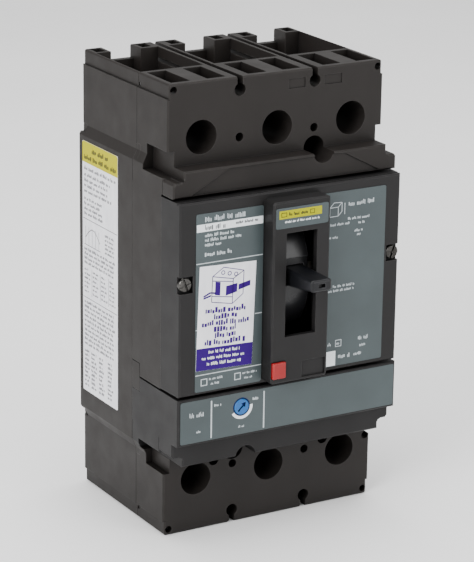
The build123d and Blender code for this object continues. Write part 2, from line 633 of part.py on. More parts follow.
def trip_unit_case():
    """Front housing of the trip unit, open to the rear, with the lower apron."""
    z0, z1 = UNIT_Z
    inner_z0, inner_z1 = z0 + CLEAR, z1 - UNIT_WALL
    body = terminal_envelope(LOAD_D) & block(-FAR, FAR, PART_D, LOAD_D, -APRON_END_Z, z1)
    head = block(-MID_HALF_W, MID_HALF_W, PART_D, COVER_D, z0, z1)
    body += chamfer(front_edges(head), EDGE)
    body += apron(-1)
    cuts = corner_recesses(-1, RECESS_FLOOR_D[1]) + corner_tongues(-1)
    cuts.append(block(-FAR, FAR, PART_D - OVER, TAB_D + UNIT_GAP, TAB_Z - UNIT_GAP, z1 + OVER))
    # main hollow, and the apron's hollow round the mounting screw tube
    cuts.append(block(-UNIT_INSIDE_X, UNIT_INSIDE_X, PART_D - OVER, COVER_D - UNIT_SKIN,
                      inner_z0, inner_z1))
    hollow = block(-UNIT_HOLLOW_X, UNIT_HOLLOW_X, PART_D - OVER, APRON_D - UNIT_SKIN,
                   -APRON_END_Z + UNIT_WALL, z0 + OVER)
    hollow -= rod_y(SINK_TUBE_R, -MOUNT_X, -MOUNT_Z, PART_D - OVER, APRON_D)
    cuts.append(hollow)
    cuts.append(rod_y(MOUNT_SINK_R, -MOUNT_X, -MOUNT_Z, PART_D - OVER, APRON_D + OVER))
    # window for the trip bar's tab
    cuts.append(block(BUTTON_X - TRIP_TAB_HALF_W, BUTTON_X + TRIP_TAB_HALF_W, TRIP_TAB_D, SEAT_D,
                      inner_z1 - OVER, z1 + OVER))
    # recess for the face plate and the dial's hole
    x0, x1, low, high = UNIT_PLATE
    cuts.append(block(x0, x1, COVER_D - PLATE_T + PLATE_PROUD, COVER_D + OVER, low, high))
    cuts.append(rod_y(DIAL_R + DIAL_GAP, DIAL_X, DIAL_Z, DIAL_BACK_D - CLEAR, COVER_D + OVER))
    body -= cuts
    # bearing walls that carry the trip bar
    for side in (-1, 1):
        cheek = block(side * CHEEK_X, side * UNIT_INSIDE_X, CHEEK_D[0], CHEEK_D[1], inner_z0, inner_z1)
        cheek -= rod_x(JOURNAL_TRIP_R + RUN, TRIP_BAR_D, TRIP_BAR_Z, side * (CHEEK_X - OVER),
                       side * (UNIT_INSIDE_X + OVER))
        body += cheek
    return body


def accessory_cover():
    """Removable front cover with the raised nose round the handle slot."""
    z0, z1 = COVER_Z
    body = block(-MID_HALF_W, MID_HALF_W, SEAT_D, COVER_D, z0, z1)
    # skirts lean in a little towards the front
    past = MID_HALF_W + OVER
    for side in (-1, 1):
        lean = [(side * MID_HALF_W, SEAT_D), (side * past, SEAT_D), (side * past, COVER_D + OVER),
                (side * (MID_HALF_W - SKIRT_LEAN), COVER_D + OVER)]
        face = make_face(Polyline([(x, -d, z0 - OVER) for x, d in lean], close=True))
        body -= extrude(face, amount=z1 - z0 + 2 * OVER, dir=(0, 0, 1))
    body = chamfer(front_edges(body), EDGE)
    # groove along the top wall
    d0, d1 = COVER_GROOVE_D
    body -= block(-MID_HALF_W - OVER, MID_HALF_W + OVER, d0, d1, z1 - EDGE, z1 + OVER)
    nose = block(-NOSE_X, NOSE_X, COVER_D, NOSE_D, NOSE_Z[0], NOSE_Z[1])
    nose = fillet(nose.edges().filter_by(Axis.Y), NOSE_CORNER_R)
    body += chamfer(front_edges(nose), EDGE)
    cuts = [block(-COVER_INSIDE_X, COVER_INSIDE_X, SEAT_D - OVER, COVER_D - WALL, z0 + WALL, z1 - WALL)]
    inside, foot = NOSE_INSIDE
    cuts.append(block(-inside, inside, COVER_D - WALL - OVER, NOSE_D - WALL, foot, NOSE_Z[1] - WALL))
    cuts.append(block(-SLOT_HALF_W, SLOT_HALF_W, NOSE_D - WALL - OVER, NOSE_D + OVER, SLOT_Z[0], SLOT_Z[1]))
    # button hole, with the plunger's guide behind it
    cuts.append(block(BUTTON_X - BUTTON_HALF_W - BUTTON_GAP, BUTTON_X + BUTTON_HALF_W + BUTTON_GAP,
                      BUTTON_GUIDE_D, NOSE_D + OVER, BUTTON_Z - BUTTON_HALF_H - BUTTON_GAP,
                      BUTTON_Z + BUTTON_HALF_H + BUTTON_GAP))
    cuts.append(rod_y(BUTTON_STEM_R + RUN, BUTTON_X, BUTTON_Z, COVER_D - WALL - OVER, COVER_D))
    x0, x1, low, high = RATING_WINDOW
    cuts.append(block(x0, x1, NOSE_D - RATING_DEPTH, NOSE_D + OVER, low, high))
    # name plate recesses
    for x0, x1, low, high in (LEFT_PLATE, RIGHT_PLATE):
        cuts.append(block(x0, x1, COVER_D - PLATE_T + PLATE_PROUD, COVER_D + OVER, low, high))
    x0, x1, low, high = NOSE_PLATE
    cuts.append(block(x0, x1, NOSE_D - PLATE_T + PLATE_PROUD, NOSE_D + OVER, low, high))
    # corner notches for the quarter-turn screws
    notch = (SCREW_Z - NOTCH_HALF_Z, SCREW_Z + NOTCH_HALF_Z)
    for side in (-1, 1):
        cuts.append(block(side * NOTCH_X, side * past, SCREW_SEAT_D, COVER_D + OVER, *notch))
    body -= cuts
    for side in (-1, 1):
        body += block(side * NOTCH_X, side * UNIT_INSIDE_X, SEAT_D, SCREW_SEAT_D, *notch)
        body -= rod_y(SCREW_SHANK_R + RUN, side * SCREW_X, SCREW_Z, SEAT_D - OVER, COVER_D + OVER)
    return body


def cover_screw(side):
    """Quarter-turn screw: a crosswise slotted head on a slim shank."""
    x = side * SCREW_X
    screw = rod_y(SCREW_HEAD_R, x, SCREW_Z, SCREW_SEAT_D, SCREW_FACE_D)
    screw = chamfer(screw.edges().sort_by(Axis.Y)[0], SCREW_EDGE)
    screw += rod_y(SCREW_SHANK_R, x, SCREW_Z, SCREW_TIP_D, SCREW_SEAT_D)
    cross = None
    for half_x, half_z, depth in SCREW_CROSS:
        slot = block(-half_x, half_x, SCREW_FACE_D - depth, COVER_D + OVER, -half_z, half_z)
        cross = slot if cross is None else cross + slot
    return screw - (Pos(x, 0, SCREW_Z) * Rot(0, side * SCREW_CROSS_DEG, 0) * cross)


def name_plate(limits, face_d):
    """Thin plate, slightly proud of the face it sits in."""
    x0, x1, z0, z1 = limits
    plate = block(x0, x1, face_d - PLATE_T + PLATE_PROUD, face_d + PLATE_PROUD, z0, z1)
    return fillet(plate.edges().filter_by(Axis.Y), PLATE_R)


def unit_plate():
    hole = rod_y(DIAL_R + CLEAR, DIAL_X, DIAL_Z, COVER_D - OVER, COVER_D + OVER)
    return name_plate(UNIT_PLATE, COVER_D) - hole


def sticker():
    width, height, x, z, tilt = STICKER
    base = COVER_D + PLATE_PROUD
    sheet = block(-width / 2, width / 2, base, base + LABEL_T, -height / 2, height / 2)
    return Pos(x, 0, z) * Rot(0, tilt, 0) * sheet


def side_label():
    d0, d1, z0, z1 = SIDE_LABEL
    label = block(-MID_HALF_W - LABEL_T, -MID_HALF_W, d0, d1, z0, z1)
    return fillet(label.edges().filter_by(Axis.X), PLATE_R)


# ---- current path -------------------------------------------------------------------
def lug(x, sign):
    """Aluminium box lug with a cable bore and a threaded screw hole."""
    z0, z1 = sign * LUG_Z[0], sign * LUG_Z[1]
    body = block(x - LUG_HALF_W, x + LUG_HALF_W, LUG_D[0], LUG_D[1], z0, z1)
    body = chamfer(body.edges().filter_by(Axis.Z), LUG_EDGE)
    body -= rod_z(CABLE_R, x, CABLE_D, z0 - sign, z1 + sign)
    return body - rod_y(LUG_SCREW_R + LUG_SCREW_GAP, x, sign * ACCESS_Z, CABLE_D, LUG_D[1] + OVER)


def lug_screw(x, sign):
    """Set screw with a hexagon socket."""
    d0, d1 = LUG_SCREW_D
    screw = rod_y(LUG_SCREW_R, x, sign * ACCESS_Z, d0, d1)
    screw = chamfer(screw.edges().sort_by(Axis.Y)[-1], LUG_SCREW_POINT)
    socket = extrude(Plane.XZ * RegularPolygon(HEX_R, 6), amount=HEX_DEPTH + OVER)
    return screw - Pos(x, -d1 + HEX_DEPTH, sign * ACCESS_Z) * socket


def line_strap(x):
    """Copper strap from the line lug, looping forward to the fixed contact."""
    x0, x1 = x - STRAP_HALF_W, x + STRAP_HALF_W
    strap = block(x0, x1, STRAP_D[0], STRAP_D[1], LOOP_Z[1], LUG_Z[1])
    strap += block(x0, x1, STRAP_D[0], LOOP_D[1], LOOP_Z[1], LOOP_Z[1] + STRAP_T)
    strap += block(x0, x1, LOOP_D[0], LOOP_D[1], LOOP_Z[0], LOOP_Z[1] + STRAP_T)
    return strap + block(x - PAD_HALF_W, x + PAD_HALF_W, LOOP_D[0] - PAD_T, LOOP_D[0], *LINE_PAD_Z)


def load_strap(x):
    """Copper strap under the load contact, ending at the heater."""
    x0, x1 = x - STRAP_HALF_W, x + STRAP_HALF_W
    back = 2 * ROTOR_D - LOOP_D[1]
    front = 2 * ROTOR_D - LOOP_D[0]
    foot, end, top = LOAD_STRAP_Z
    strap = block(x0, x1, STRAP_D[0], STRAP_D[1], foot, top)
    strap += block(x0, x1, STRAP_D[0], front, top - STRAP_T, top)
    strap += block(x0, x1, back, front, end, top)
    return strap + block(x - PAD_HALF_W, x + PAD_HALF_W, front, front + PAD_T, *LOAD_PAD_Z)


def heater_strap(x):
    """Heater loop through the trip unit, continuing to the load lug."""
    x0, x1 = x - HEATER_HALF_W, x + HEATER_HALF_W
    low, high = HEATER_Z
    strap = block(x0, x1, STRAP_D[1], HEATER_D, high - HEATER_T, high)
    strap += block(x0, x1, HEATER_D - HEATER_T, HEATER_D, low, high)
    strap += block(x0, x1, STRAP_D[1], HEATER_D, low, low + HEATER_T)
    return strap + block(x - STRAP_HALF_W, x + STRAP_HALF_W, STRAP_D[0], STRAP_D[1],
                         -LUG_Z[1], low + STRAP_T)


def bimetals():
    """One bimetal strip on the front of each heater."""
    half_w, t, z0, z1 = BIMETAL
    return group([block(x - half_w, x + half_w, HEATER_D, HEATER_D + t, z0, z1) for x in POLES.values()])


def magnet_yokes():
    """U-shaped iron round each heater loop."""
    half_w, d0, d1, z0, z1 = YOKE_IRON
    inside = half_w - YOKE_IRON_T
    yokes = []
    for x in POLES.values():
        yoke = block(x - half_w, x + half_w, d0, d1, z0, z1)
        yokes.append(yoke - block(x - inside, x + inside, d0 - OVER, d1 + OVER, z0 + YOKE_IRON_T, z1 + OVER))
    return group(yokes)


def chute_depth(d, thickness, sign):
    """Depth of a chute piece; the load side is the line side turned about the rotor axis."""
    return d if sign > 0 else 2 * ROTOR_D - d - thickness


def arc_chutes():
    """Splitter plates and fibre cheeks at both contacts of every pole."""
    pieces = []
    z0, z1 = CHUTE_Z
    mouth, point = CHUTE_NOTCH
    span = CHUTE_STEP * (CHUTE_PLATES - 1) + CHUTE_T
    for x in POLES.values():
        for sign in (1, -1):
            for index in range(CHUTE_PLATES):
                d = chute_depth(CHUTE_FIRST_D + index * CHUTE_STEP, CHUTE_T, sign)
                plate = block(x - CHUTE_HALF_W, x + CHUTE_HALF_W, d, d + CHUTE_T, sign * z0, sign * z1)
                foot = sign * (z0 - OVER)
                outline = [(x - mouth, foot), (x + mouth, foot), (x, sign * point)]
                pieces.append(plate - front_plate(outline, d - OVER, d + CHUTE_T + OVER))
            for side in (-1, 1):
                d = chute_depth(CHUTE_FIRST_D, span, sign)
                pieces.append(block(x + side * CHUTE_HALF_W, x + side * (CHUTE_HALF_W + CHUTE_T),
                                    d, d + span, sign * z0, sign * z1))
    return group(pieces)


def pole_cartridge(x):
    """Two half shells that enclose one pole's contacts."""
    d0, d1 = CARTRIDGE_D
    half_w, half_z, t = CARTRIDGE_HALF_W, CARTRIDGE_HALF_Z, CARTRIDGE_T
    body = block(x - half_w, x + half_w, d0, d1, -half_z, half_z)
    body -= block(x - half_w + t, x + half_w - t, d0 + t, d1 - t, -half_z + t, half_z - t)
    inner, outer = half_z - t - OVER, half_z + OVER
    cuts = [rod_x(JOURNAL_R + RUN, ROTOR_D, 0, x - half_w - OVER, x + half_w + OVER)]
    strap = STRAP_HALF_W + 2 * CLEAR
    cuts.append(block(x - strap, x + strap, LOOP_D[0] - 2 * CLEAR, LOOP_D[1] + 2 * CLEAR, inner, outer))
    cuts.append(block(x - strap, x + strap, STRAP_D[0] - 2 * CLEAR, STRAP_D[1] + 2 * CLEAR, -outer, -inner))
    cuts.append(crosspin_window(CROSSPIN_ROOM))
    # the crank and toggle links pass through the front wall
    link_half_w, z0, z1 = LINK_WINDOW
    cuts.append(block(x - link_half_w, x + link_half_w, d1 - t - OVER, d1 + OVER, z0, z1))
    # arc gas vents
    vent_half_w, pitch, vent_d0, vent_d1 = VENTS
    for k in (-1, 0, 1):
        for sign in (-1, 1):
            middle = x + k * pitch
            cuts.append(block(middle - vent_half_w, middle + vent_half_w, vent_d0, vent_d1,
                              sign * inner, sign * outer))
    body -= cuts
    left = body - block(x - CARTRIDGE_SEAM, x + FAR, -OVER, FAR, -FAR, FAR)
    right = body - block(x - FAR, x + CARTRIDGE_SEAM, -OVER, FAR, -FAR, FAR)
    return group([left, right])


# ---- contact rotor ------------------------------------------------------------------
def blade_frame(shape):
    """Turn a shape drawn upright about the rotor axis to the blade's rest angle."""
    lean = BLADE_ON_DEG - HANDLE_ON_DEG * ROTOR_RATIO
    return Pos(0, -ROTOR_D, 0) * Rot(lean, 0, 0) * shape


def upright(x0, x1, front0, front1, z0, z1):
    """Box about the rotor axis, front0 and front1 measured forward from it."""
    return Pos((x0 + x1) / 2, -(front0 + front1) / 2, (z0 + z1) / 2) * Box(
        abs(x1 - x0), abs(front1 - front0), abs(z1 - z0))


def contact_rotor(x):
    """Molded rotor drum with journals and a crank lug."""
    pin = crosspin_centre()
    body = rod_x(ROTOR_R, ROTOR_D, 0, x - ROTOR_HALF_W, x + ROTOR_HALF_W)
    body += bar_between((ROTOR_D, 0), pin, CROSSPIN_R + CRANK_WALL, x - ROTOR_HALF_W, x + ROTOR_HALF_W)
    body += rod_x(JOURNAL_R, ROTOR_D, 0, x - JOURNAL_HALF_W, x + JOURNAL_HALF_W)
    half_w, half_t = BLADE_HALF_W + BLADE_GAP, BLADE_HALF_T + BLADE_GAP
    slot = blade_frame(upright(x - half_w, x + half_w, -half_t, half_t, -BLADE_HALF_L, BLADE_HALF_L))
    return body - slot - rod_x(CROSSPIN_R, pin[0], pin[1], x - JOURNAL_HALF_W, x + JOURNAL_HALF_W)


def contact_blades():
    """Double-ended moving contacts with silver tips."""
    blades = []
    for x in POLES.values():
        blade = upright(x - BLADE_HALF_W, x + BLADE_HALF_W, -BLADE_HALF_T, BLADE_HALF_T,
                        -BLADE_HALF_L, BLADE_HALF_L)
        blade += upright(x - TIP_HALF_W, x + TIP_HALF_W, BLADE_HALF_T, BLADE_HALF_T + TIP_T,
                         BLADE_HALF_L - TIP_L, BLADE_HALF_L)
        blade += upright(x - TIP_HALF_W, x + TIP_HALF_W, -BLADE_HALF_T - TIP_T, -BLADE_HALF_T,
                         -BLADE_HALF_L, -BLADE_HALF_L + TIP_L)
        blades.append(blade_frame(blade))
    return group(blades)


def rotor_crosspin():
    """Steel rod that ties the three rotors together."""
    d, z = crosspin_centre()
    return rod_x(CROSSPIN_R, d, z, -POLE_PITCH - CROSSPIN_END, POLE_PITCH + CROSSPIN_END)


# ---- operating mechanism ------------------------------------------------------------
def mechanism_side_plates():
    """Pair of steel side plates that carry the handle yoke and cradle."""
    x0, x1 = PLATE_X
    cut0, cut1 = x0 - OVER, x1 + OVER
    plate = side_plate(PLATE_OUTLINE, x0, x1)
    plate -= [rod_x(MECHANISM_PIN_R, d, z, cut0, cut1) for d, z in MECHANISM_PINS]
    plate -= rod_x(HANDLE_PIN_R, HANDLE_D, HANDLE_Z, cut0, cut1)
    plate -= rod_x(CRADLE_PIN_R, CRADLE_PIVOT[0], CRADLE_PIVOT[1], cut0, cut1)
    d, z, r = PLATE_HOLE
    plate -= rod_x(r, d, z, cut0, cut1)
    return group(mirrored(plate))


def mechanism_pins():
    """Two cross pins, two handle pivots and the cradle's pin."""
    end = MECHANISM_PIN_HALF_L
    pins = [rod_x(MECHANISM_PIN_R, d, z, -end, end) for d, z in MECHANISM_PINS]
    pins += mirrored(rod_x(HANDLE_PIN_R, HANDLE_D, HANDLE_Z, YOKE_X[0] - RUN, PLATE_X[1]))
    pins.append(rod_x(CRADLE_PIN_R, CRADLE_PIVOT[0], CRADLE_PIVOT[1], -PLATE_X[1], PLATE_X[1]))
    return group(pins)


def cradle():
    """Latched lever whose notch holds the upper toggle pin."""
    d, z = CRADLE_PIVOT
    body = side_plate(CRADLE_OUTLINE, -CRADLE_HALF_T, CRADLE_HALF_T)
    body += rod_x(CRADLE_EYE_R, d, z, -CRADLE_HALF_T, CRADLE_HALF_T)
    past = CRADLE_HALF_T + OVER
    notch = rod_x(CRADLE_NOTCH_R, LINK_TOP_D, LINK_TOP_Z, -past, past)
    notch += block(-past, past, LINK_TOP_D - CRADLE_NOTCH_R, LINK_TOP_D + CRADLE_NOTCH_R,
                   LINK_TOP_Z - 2 * CRADLE_EYE_R, LINK_TOP_Z)
    return body - notch - rod_x(CRADLE_PIN_R + RUN, d, z, -past, past)


def knee():
    return polar((LINK_TOP_D, LINK_TOP_Z), UPPER_LINK, UPPER_LINK_DEG)


def upper_links():
    """Pair of upper toggle links riveted to their top and knee pins."""
    x0, x1 = UPPER_LINK_X
    link = bar_between((LINK_TOP_D, LINK_TOP_Z), knee(), LINK_PIN_R + LINK_WALL, x0, x1)
    pins = []
    for (d, z), end in (((LINK_TOP_D, LINK_TOP_Z), x1), (knee(), LOWER_LINK_X[1] + CLEAR)):
        link -= rod_x(LINK_PIN_R, d, z, x0 - OVER, x1 + OVER)
        pins.append(rod_x(LINK_PIN_R, d, z, -end, end))
    return group(mirrored(link) + pins)


def lower_links():
    """Pair of lower toggle links, running on the crosspin, with play at the knee."""
    pin = crosspin_centre()
    x0, x1 = LOWER_LINK_X
    link = bar_between(pin, knee(), LINK_PIN_R + KNEE_PLAY + LINK_WALL, x0, x1)
    link -= rod_x(CROSSPIN_R + RUN, pin[0], pin[1], x0 - OVER, x1 + OVER)
    link -= rod_x(LINK_PIN_R + KNEE_PLAY, knee()[0], knee()[1], x0 - OVER, x1 + OVER)
    return group(mirrored(link))


def handle_turned(shape):
    """Turn a shape drawn straight forward from the pivot to the handle's rest lean."""
    return Pos(0, -HANDLE_D, HANDLE_Z) * Rot(-HANDLE_REST_DEG, 0, 0) * shape


def forward(x0, x1, r0, r1, z0, z1):
    """Box reaching forward from the handle pivot."""
    return Pos((x0 + x1) / 2, -(r0 + r1) / 2, (z0 + z1) / 2) * Box(
        abs(x1 - x0), abs(r1 - r0), abs(z1 - z0))


def handle_yoke():
    """Bent steel yoke between the pivots and the handle."""
    x0, x1 = YOKE_X
    leg = forward(x0, x1, 0, YOKE_R[1], -YOKE_HALF_Z, YOKE_HALF_Z)
    leg += rod_x(YOKE_EYE_R, 0, 0, x0, x1)
    leg -= rod_x(HANDLE_PIN_R + RUN, 0, 0, x0 - OVER, x1 + OVER)
    body = leg + mirror(leg, about=Plane.YZ)
    body += forward(-x1, x1, YOKE_R[0], YOKE_R[1], -YOKE_HALF_Z, YOKE_HALF_Z)
    return handle_turned(body)


def operating_handle():
    """Molded handle, tapering to a rounded tip with a small dimple."""
    root = YOKE_R[1]
    upper = [(root, HANDLE_ROOT - HANDLE_GAP), (SHIELD_R + CLEAR, HANDLE_NECK), (HANDLE_TIP_R, HANDLE_TIP)]
    outline = upper + [(r, -z) for r, z in reversed(upper)]
    stem = side_plate(outline, -HANDLE_HALF_W, HANDLE_HALF_W)
    stem = fillet(stem.edges().filter_by(Axis.X).sort_by(Axis.Y)[:2], TIP_ROUND[0])
    stem = fillet(stem.edges().filter_by(Axis.Z).sort_by(Axis.Y)[:2], TIP_ROUND[1])
    half_w, half_z, depth = DIMPLE
    stem -= forward(-half_w, half_w, HANDLE_TIP_R - depth, HANDLE_TIP_R + OVER, -half_z, half_z)
    return handle_turned(stem)


def shield_arc(radius, low_deg, high_deg):
    """Curved band in front of the handle pivot, between two angles."""
    half_w = SLOT_HALF_W - CLEAR
    ring = rod_x(radius, 0, 0, -half_w, half_w)
    ring -= rod_x(radius - SHIELD_T, 0, 0, -half_w - OVER, half_w + OVER)
    middle_deg = (low_deg + high_deg) / 2
    fan = [(0, 0)] + [polar((0, 0), FAR, angle) for angle in (low_deg, middle_deg, high_deg)]
    return ring & side_plate(fan, -FAR, FAR)


def handle_shield():
    """Curved shield that closes the slot behind the handle, with two raised fields."""
    shield = shield_arc(SHIELD_R - SHIELD_T, -SHIELD_DEG, SHIELD_DEG)
    shield += shield_arc(SHIELD_R, -SHIELD_DEG + SHIELD_STEP_DEG, 0)
    shield += shield_arc(SHIELD_R, 0, SHIELD_DEG)
    # recess between the handle's root and the upper raised field
    past = SHIELD_R + OVER
    shield -= forward(-SLOT_HALF_W, SLOT_HALF_W, SHIELD_R - SHIELD_T, past, 0, SHIELD_RECESS)
    half_w = HANDLE_HALF_W + HANDLE_GAP
    shield -= forward(-half_w, half_w, YOKE_R[0], past, -HANDLE_ROOT, HANDLE_ROOT)
    return handle_turned(shield)


def main_springs():
    """Pair of extension springs between the knee pin and the yoke."""
    start = knee()
    end = polar((HANDLE_D, HANDLE_Z), YOKE_R[0] - CLEAR, HANDLE_REST_DEG)
    lift = LINK_PIN_R + CLEAR
    length = hypot(end[0] - start[0], end[1] - start[1]) - lift - 2 * SPRING_WIRE_R
    path = Helix(pitch=length / SPRING_COILS, height=length, radius=SPRING_R)
    wire = sweep(Plane(path @ 0, z_dir=path % 0) * Circle(SPRING_WIRE_R), path=path, is_frenet=True)
    along = Vector(0, -(end[0] - start[0]), end[1] - start[1]).normalized()
    springs = []
    for x in (-SPRING_X, SPRING_X):
        origin = Vector(x, -start[0], start[1]) + along * lift
        springs.append(Plane(origin=origin, x_dir=(1, 0, 0), z_dir=along) * wire)
    return group(springs)


# ---- trip bar, button, dial ---------------------------------------------------------
def trip_bar():
    """Molded bar across the trip unit, with a paddle for each pole and a button tab."""
    d, z = TRIP_BAR_D, TRIP_BAR_Z
    bar = rod_x(TRIP_BAR_R, d, z, -TRIP_BAR_HALF_W, TRIP_BAR_HALF_W)
    bar += rod_x(JOURNAL_TRIP_R, d, z, -TRIP_BAR_HALF_L, TRIP_BAR_HALF_L)
    tabs = [(x, z + PADDLE_H) for x in POLES.values()] + [(BUTTON_X, BUTTON_Z + TRIP_TAB_RISE)]
    for x, top in tabs:
        bar += block(x - PADDLE_HALF_W, x + PADDLE_HALF_W, d - PADDLE_HALF_T, d + PADDLE_HALF_T, z, top)
    # flats where the armatures clip on
    flat = d - ARMATURE_SEAT
    for x in POLES.values():
        bar -= block(x - FLAT_HALF_W, x + FLAT_HALF_W, d - TRIP_BAR_R - OVER, flat, z - PADDLE_HALF_W,
                     z + PADDLE_HALF_W)
    return bar


def armatures():
    """Iron armature plates clipped to the trip bar over the magnet yokes."""
    half_w, d0, d1, z0, z1, neck_half_w, neck_top = ARMATURE
    plates = []
    for x in POLES.values():
        plate = block(x - half_w, x + half_w, d0, d1, z0, z1)
        neck = block(x - neck_half_w, x + neck_half_w, d1 - CLEAR, TRIP_BAR_D - ARMATURE_SEAT - 2 * RUN,
                     z0, neck_top)
        plates.append(plate + neck)
    return group(plates)


def trip_button():
    """Push-to-trip button with its plunger."""
    body = block(BUTTON_X - BUTTON_HALF_W, BUTTON_X + BUTTON_HALF_W, BUTTON_HEAD_D[0],
                 BUTTON_HEAD_D[1], BUTTON_Z - BUTTON_HALF_H, BUTTON_Z + BUTTON_HALF_H)
    body = fillet(body.edges().filter_by(Axis.Y), BUTTON_CORNER_R)
    body = chamfer(front_edges(body), BUTTON_EDGE)
    tip = TRIP_BAR_D + PADDLE_HALF_T + CLEAR
    return body + rod_y(BUTTON_STEM_R, BUTTON_X, BUTTON_Z, tip, BUTTON_HEAD_D[0])


def button_spring():
    """Compression spring round the plunger, under the button's head."""
    wire_r, coil_r, coils = BUTTON_SPRING
    start, end = BUTTON_GUIDE_D + BUTTON_GAP, BUTTON_HEAD_D[0] - BUTTON_GAP
    height = end - start - 2 * wire_r
    path = Helix(pitch=height / coils, height=height, radius=coil_r)
    wire = sweep(Plane(path @ 0, z_dir=path % 0) * Circle(wire_r), path=path, is_frenet=True)
    seat = Plane(origin=(BUTTON_X, -start - wire_r, BUTTON_Z), x_dir=(1, 0, 0), z_dir=(0, -1, 0))
    return seat * wire


def adjust_dial():
    """Pickup dial with an arrow slot, set into the trip unit's face."""
    dial = rod_y(DIAL_R, DIAL_X, DIAL_Z, DIAL_BACK_D, DIAL_FACE_D)
    dial = chamfer(dial.edges().sort_by(Axis.Y)[0], DIAL_EDGE)
    stem_r, stem_d = DIAL_STEM
    dial += rod_y(stem_r, DIAL_X, DIAL_Z, stem_d, DIAL_BACK_D)
    half_w, z0, z1, depth = DIAL_SLOT
    head_half_w, foot, point = DIAL_HEAD
    arrow = block(-half_w, half_w, DIAL_FACE_D - depth, DIAL_FACE_D + OVER, z0, z1)
    arrow += front_plate([(-head_half_w, foot), (head_half_w, foot), (0, point)], DIAL_FACE_D - depth,
                         DIAL_FACE_D + OVER)
    return dial - Pos(DIAL_X, 0, DIAL_Z) * Rot(0, DIAL_REST_DEG, 0) * arrow


# ---- build --------------------------------------------------------------------------
def main():
    os.makedirs("parts", exist_ok=True)
    save(rear_case(), "rear_case")
    save(front_case(), "front_case")
    save(load_end_case(), "load_end_case")
    save(trip_unit_case(), "trip_unit_case")
    save(accessory_cover(), "accessory_cover")
    save(case_screws(), "case_screws")
    save(name_plate(LEFT_PLATE, COVER_D), "left_name_plate")
    save(name_plate(RIGHT_PLATE, COVER_D), "right_name_plate")
    save(name_plate(NOSE_PLATE, NOSE_D), "nose_plate")
    save(unit_plate(), "trip_unit_plate")
    save(sticker(), "notice_sticker")
    save(side_label(), "side_label")
    for side, name in ((-1, "left"), (1, "right")):
        save(cover_screw(side), f"cover_screw_{name}")
    for pole, x in POLES.items():
        save(line_strap(x), f"line_strap_{pole}")
        save(load_strap(x), f"load_strap_{pole}")
        save(heater_strap(x), f"heater_strap_{pole}")
        save(pole_cartridge(x), f"pole_cartridge_{pole}")
        save(contact_rotor(x), f"contact_rotor_{pole}")
        for sign, end in ((1, "line"), (-1, "load")):
            save(lug(x, sign), f"{end}_lug_{pole}")
            save(lug_screw(x, sign), f"{end}_lug_screw_{pole}")
    save(arc_chutes(), "arc_chutes")
    save(bimetals(), "bimetals")
    save(magnet_yokes(), "magnet_yokes")
    save(contact_blades(), "contact_blades")
    save(rotor_crosspin(), "rotor_crosspin")
    save(mechanism_side_plates(), "mechanism_side_plates")
    save(mechanism_pins(), "mechanism_pins")
    save(cradle(), "latch_cradle")
    save(upper_links(), "upper_toggle_links")
    save(lower_links(), "lower_toggle_links")
    save(handle_yoke(), "handle_yoke")
    save(operating_handle(), "operating_handle")
    save(handle_shield(), "handle_shield")
    save(main_springs(), "main_springs")
    save(trip_bar(), "trip_bar")
    save(armatures(), "armatures")
    save(trip_button(), "trip_button")
    save(button_spring(), "button_spring")
    save(adjust_dial(), "adjust_dial")


main()
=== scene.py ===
"""Looks of the molded case breaker: materials, printed marks, floor, lights and camera."""
import json
import math
import random

import bmesh
import bpy
from mathutils import Matrix, Vector


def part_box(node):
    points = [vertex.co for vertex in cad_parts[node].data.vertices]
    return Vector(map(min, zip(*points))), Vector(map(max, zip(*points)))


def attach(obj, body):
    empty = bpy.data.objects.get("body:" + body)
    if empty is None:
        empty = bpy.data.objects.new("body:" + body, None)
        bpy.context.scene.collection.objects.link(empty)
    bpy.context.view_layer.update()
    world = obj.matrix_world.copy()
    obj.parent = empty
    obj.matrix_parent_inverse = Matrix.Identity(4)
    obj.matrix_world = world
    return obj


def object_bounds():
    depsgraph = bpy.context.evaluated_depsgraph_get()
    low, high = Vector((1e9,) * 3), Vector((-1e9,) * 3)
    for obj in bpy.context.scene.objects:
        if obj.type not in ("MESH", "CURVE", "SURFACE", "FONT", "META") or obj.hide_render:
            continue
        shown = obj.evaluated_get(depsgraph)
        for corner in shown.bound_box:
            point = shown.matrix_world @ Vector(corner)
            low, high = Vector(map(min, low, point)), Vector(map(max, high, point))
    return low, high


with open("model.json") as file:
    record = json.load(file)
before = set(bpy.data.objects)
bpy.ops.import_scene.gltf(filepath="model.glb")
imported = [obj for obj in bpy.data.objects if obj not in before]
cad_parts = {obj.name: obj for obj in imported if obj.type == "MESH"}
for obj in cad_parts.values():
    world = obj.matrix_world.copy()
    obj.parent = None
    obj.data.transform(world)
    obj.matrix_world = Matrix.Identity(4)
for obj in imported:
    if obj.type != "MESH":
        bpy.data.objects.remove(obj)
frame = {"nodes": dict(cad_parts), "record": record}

CAD_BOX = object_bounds()
MM = 0.001
PRINT_T = 0.03 * MM           # how far ink stands on its label
PRINT_SINK = 0.005 * MM       # how far it reaches into it
FLOOR_HALF = 4.0
FLOOR_GAP = 0.0002
random.seed(7)


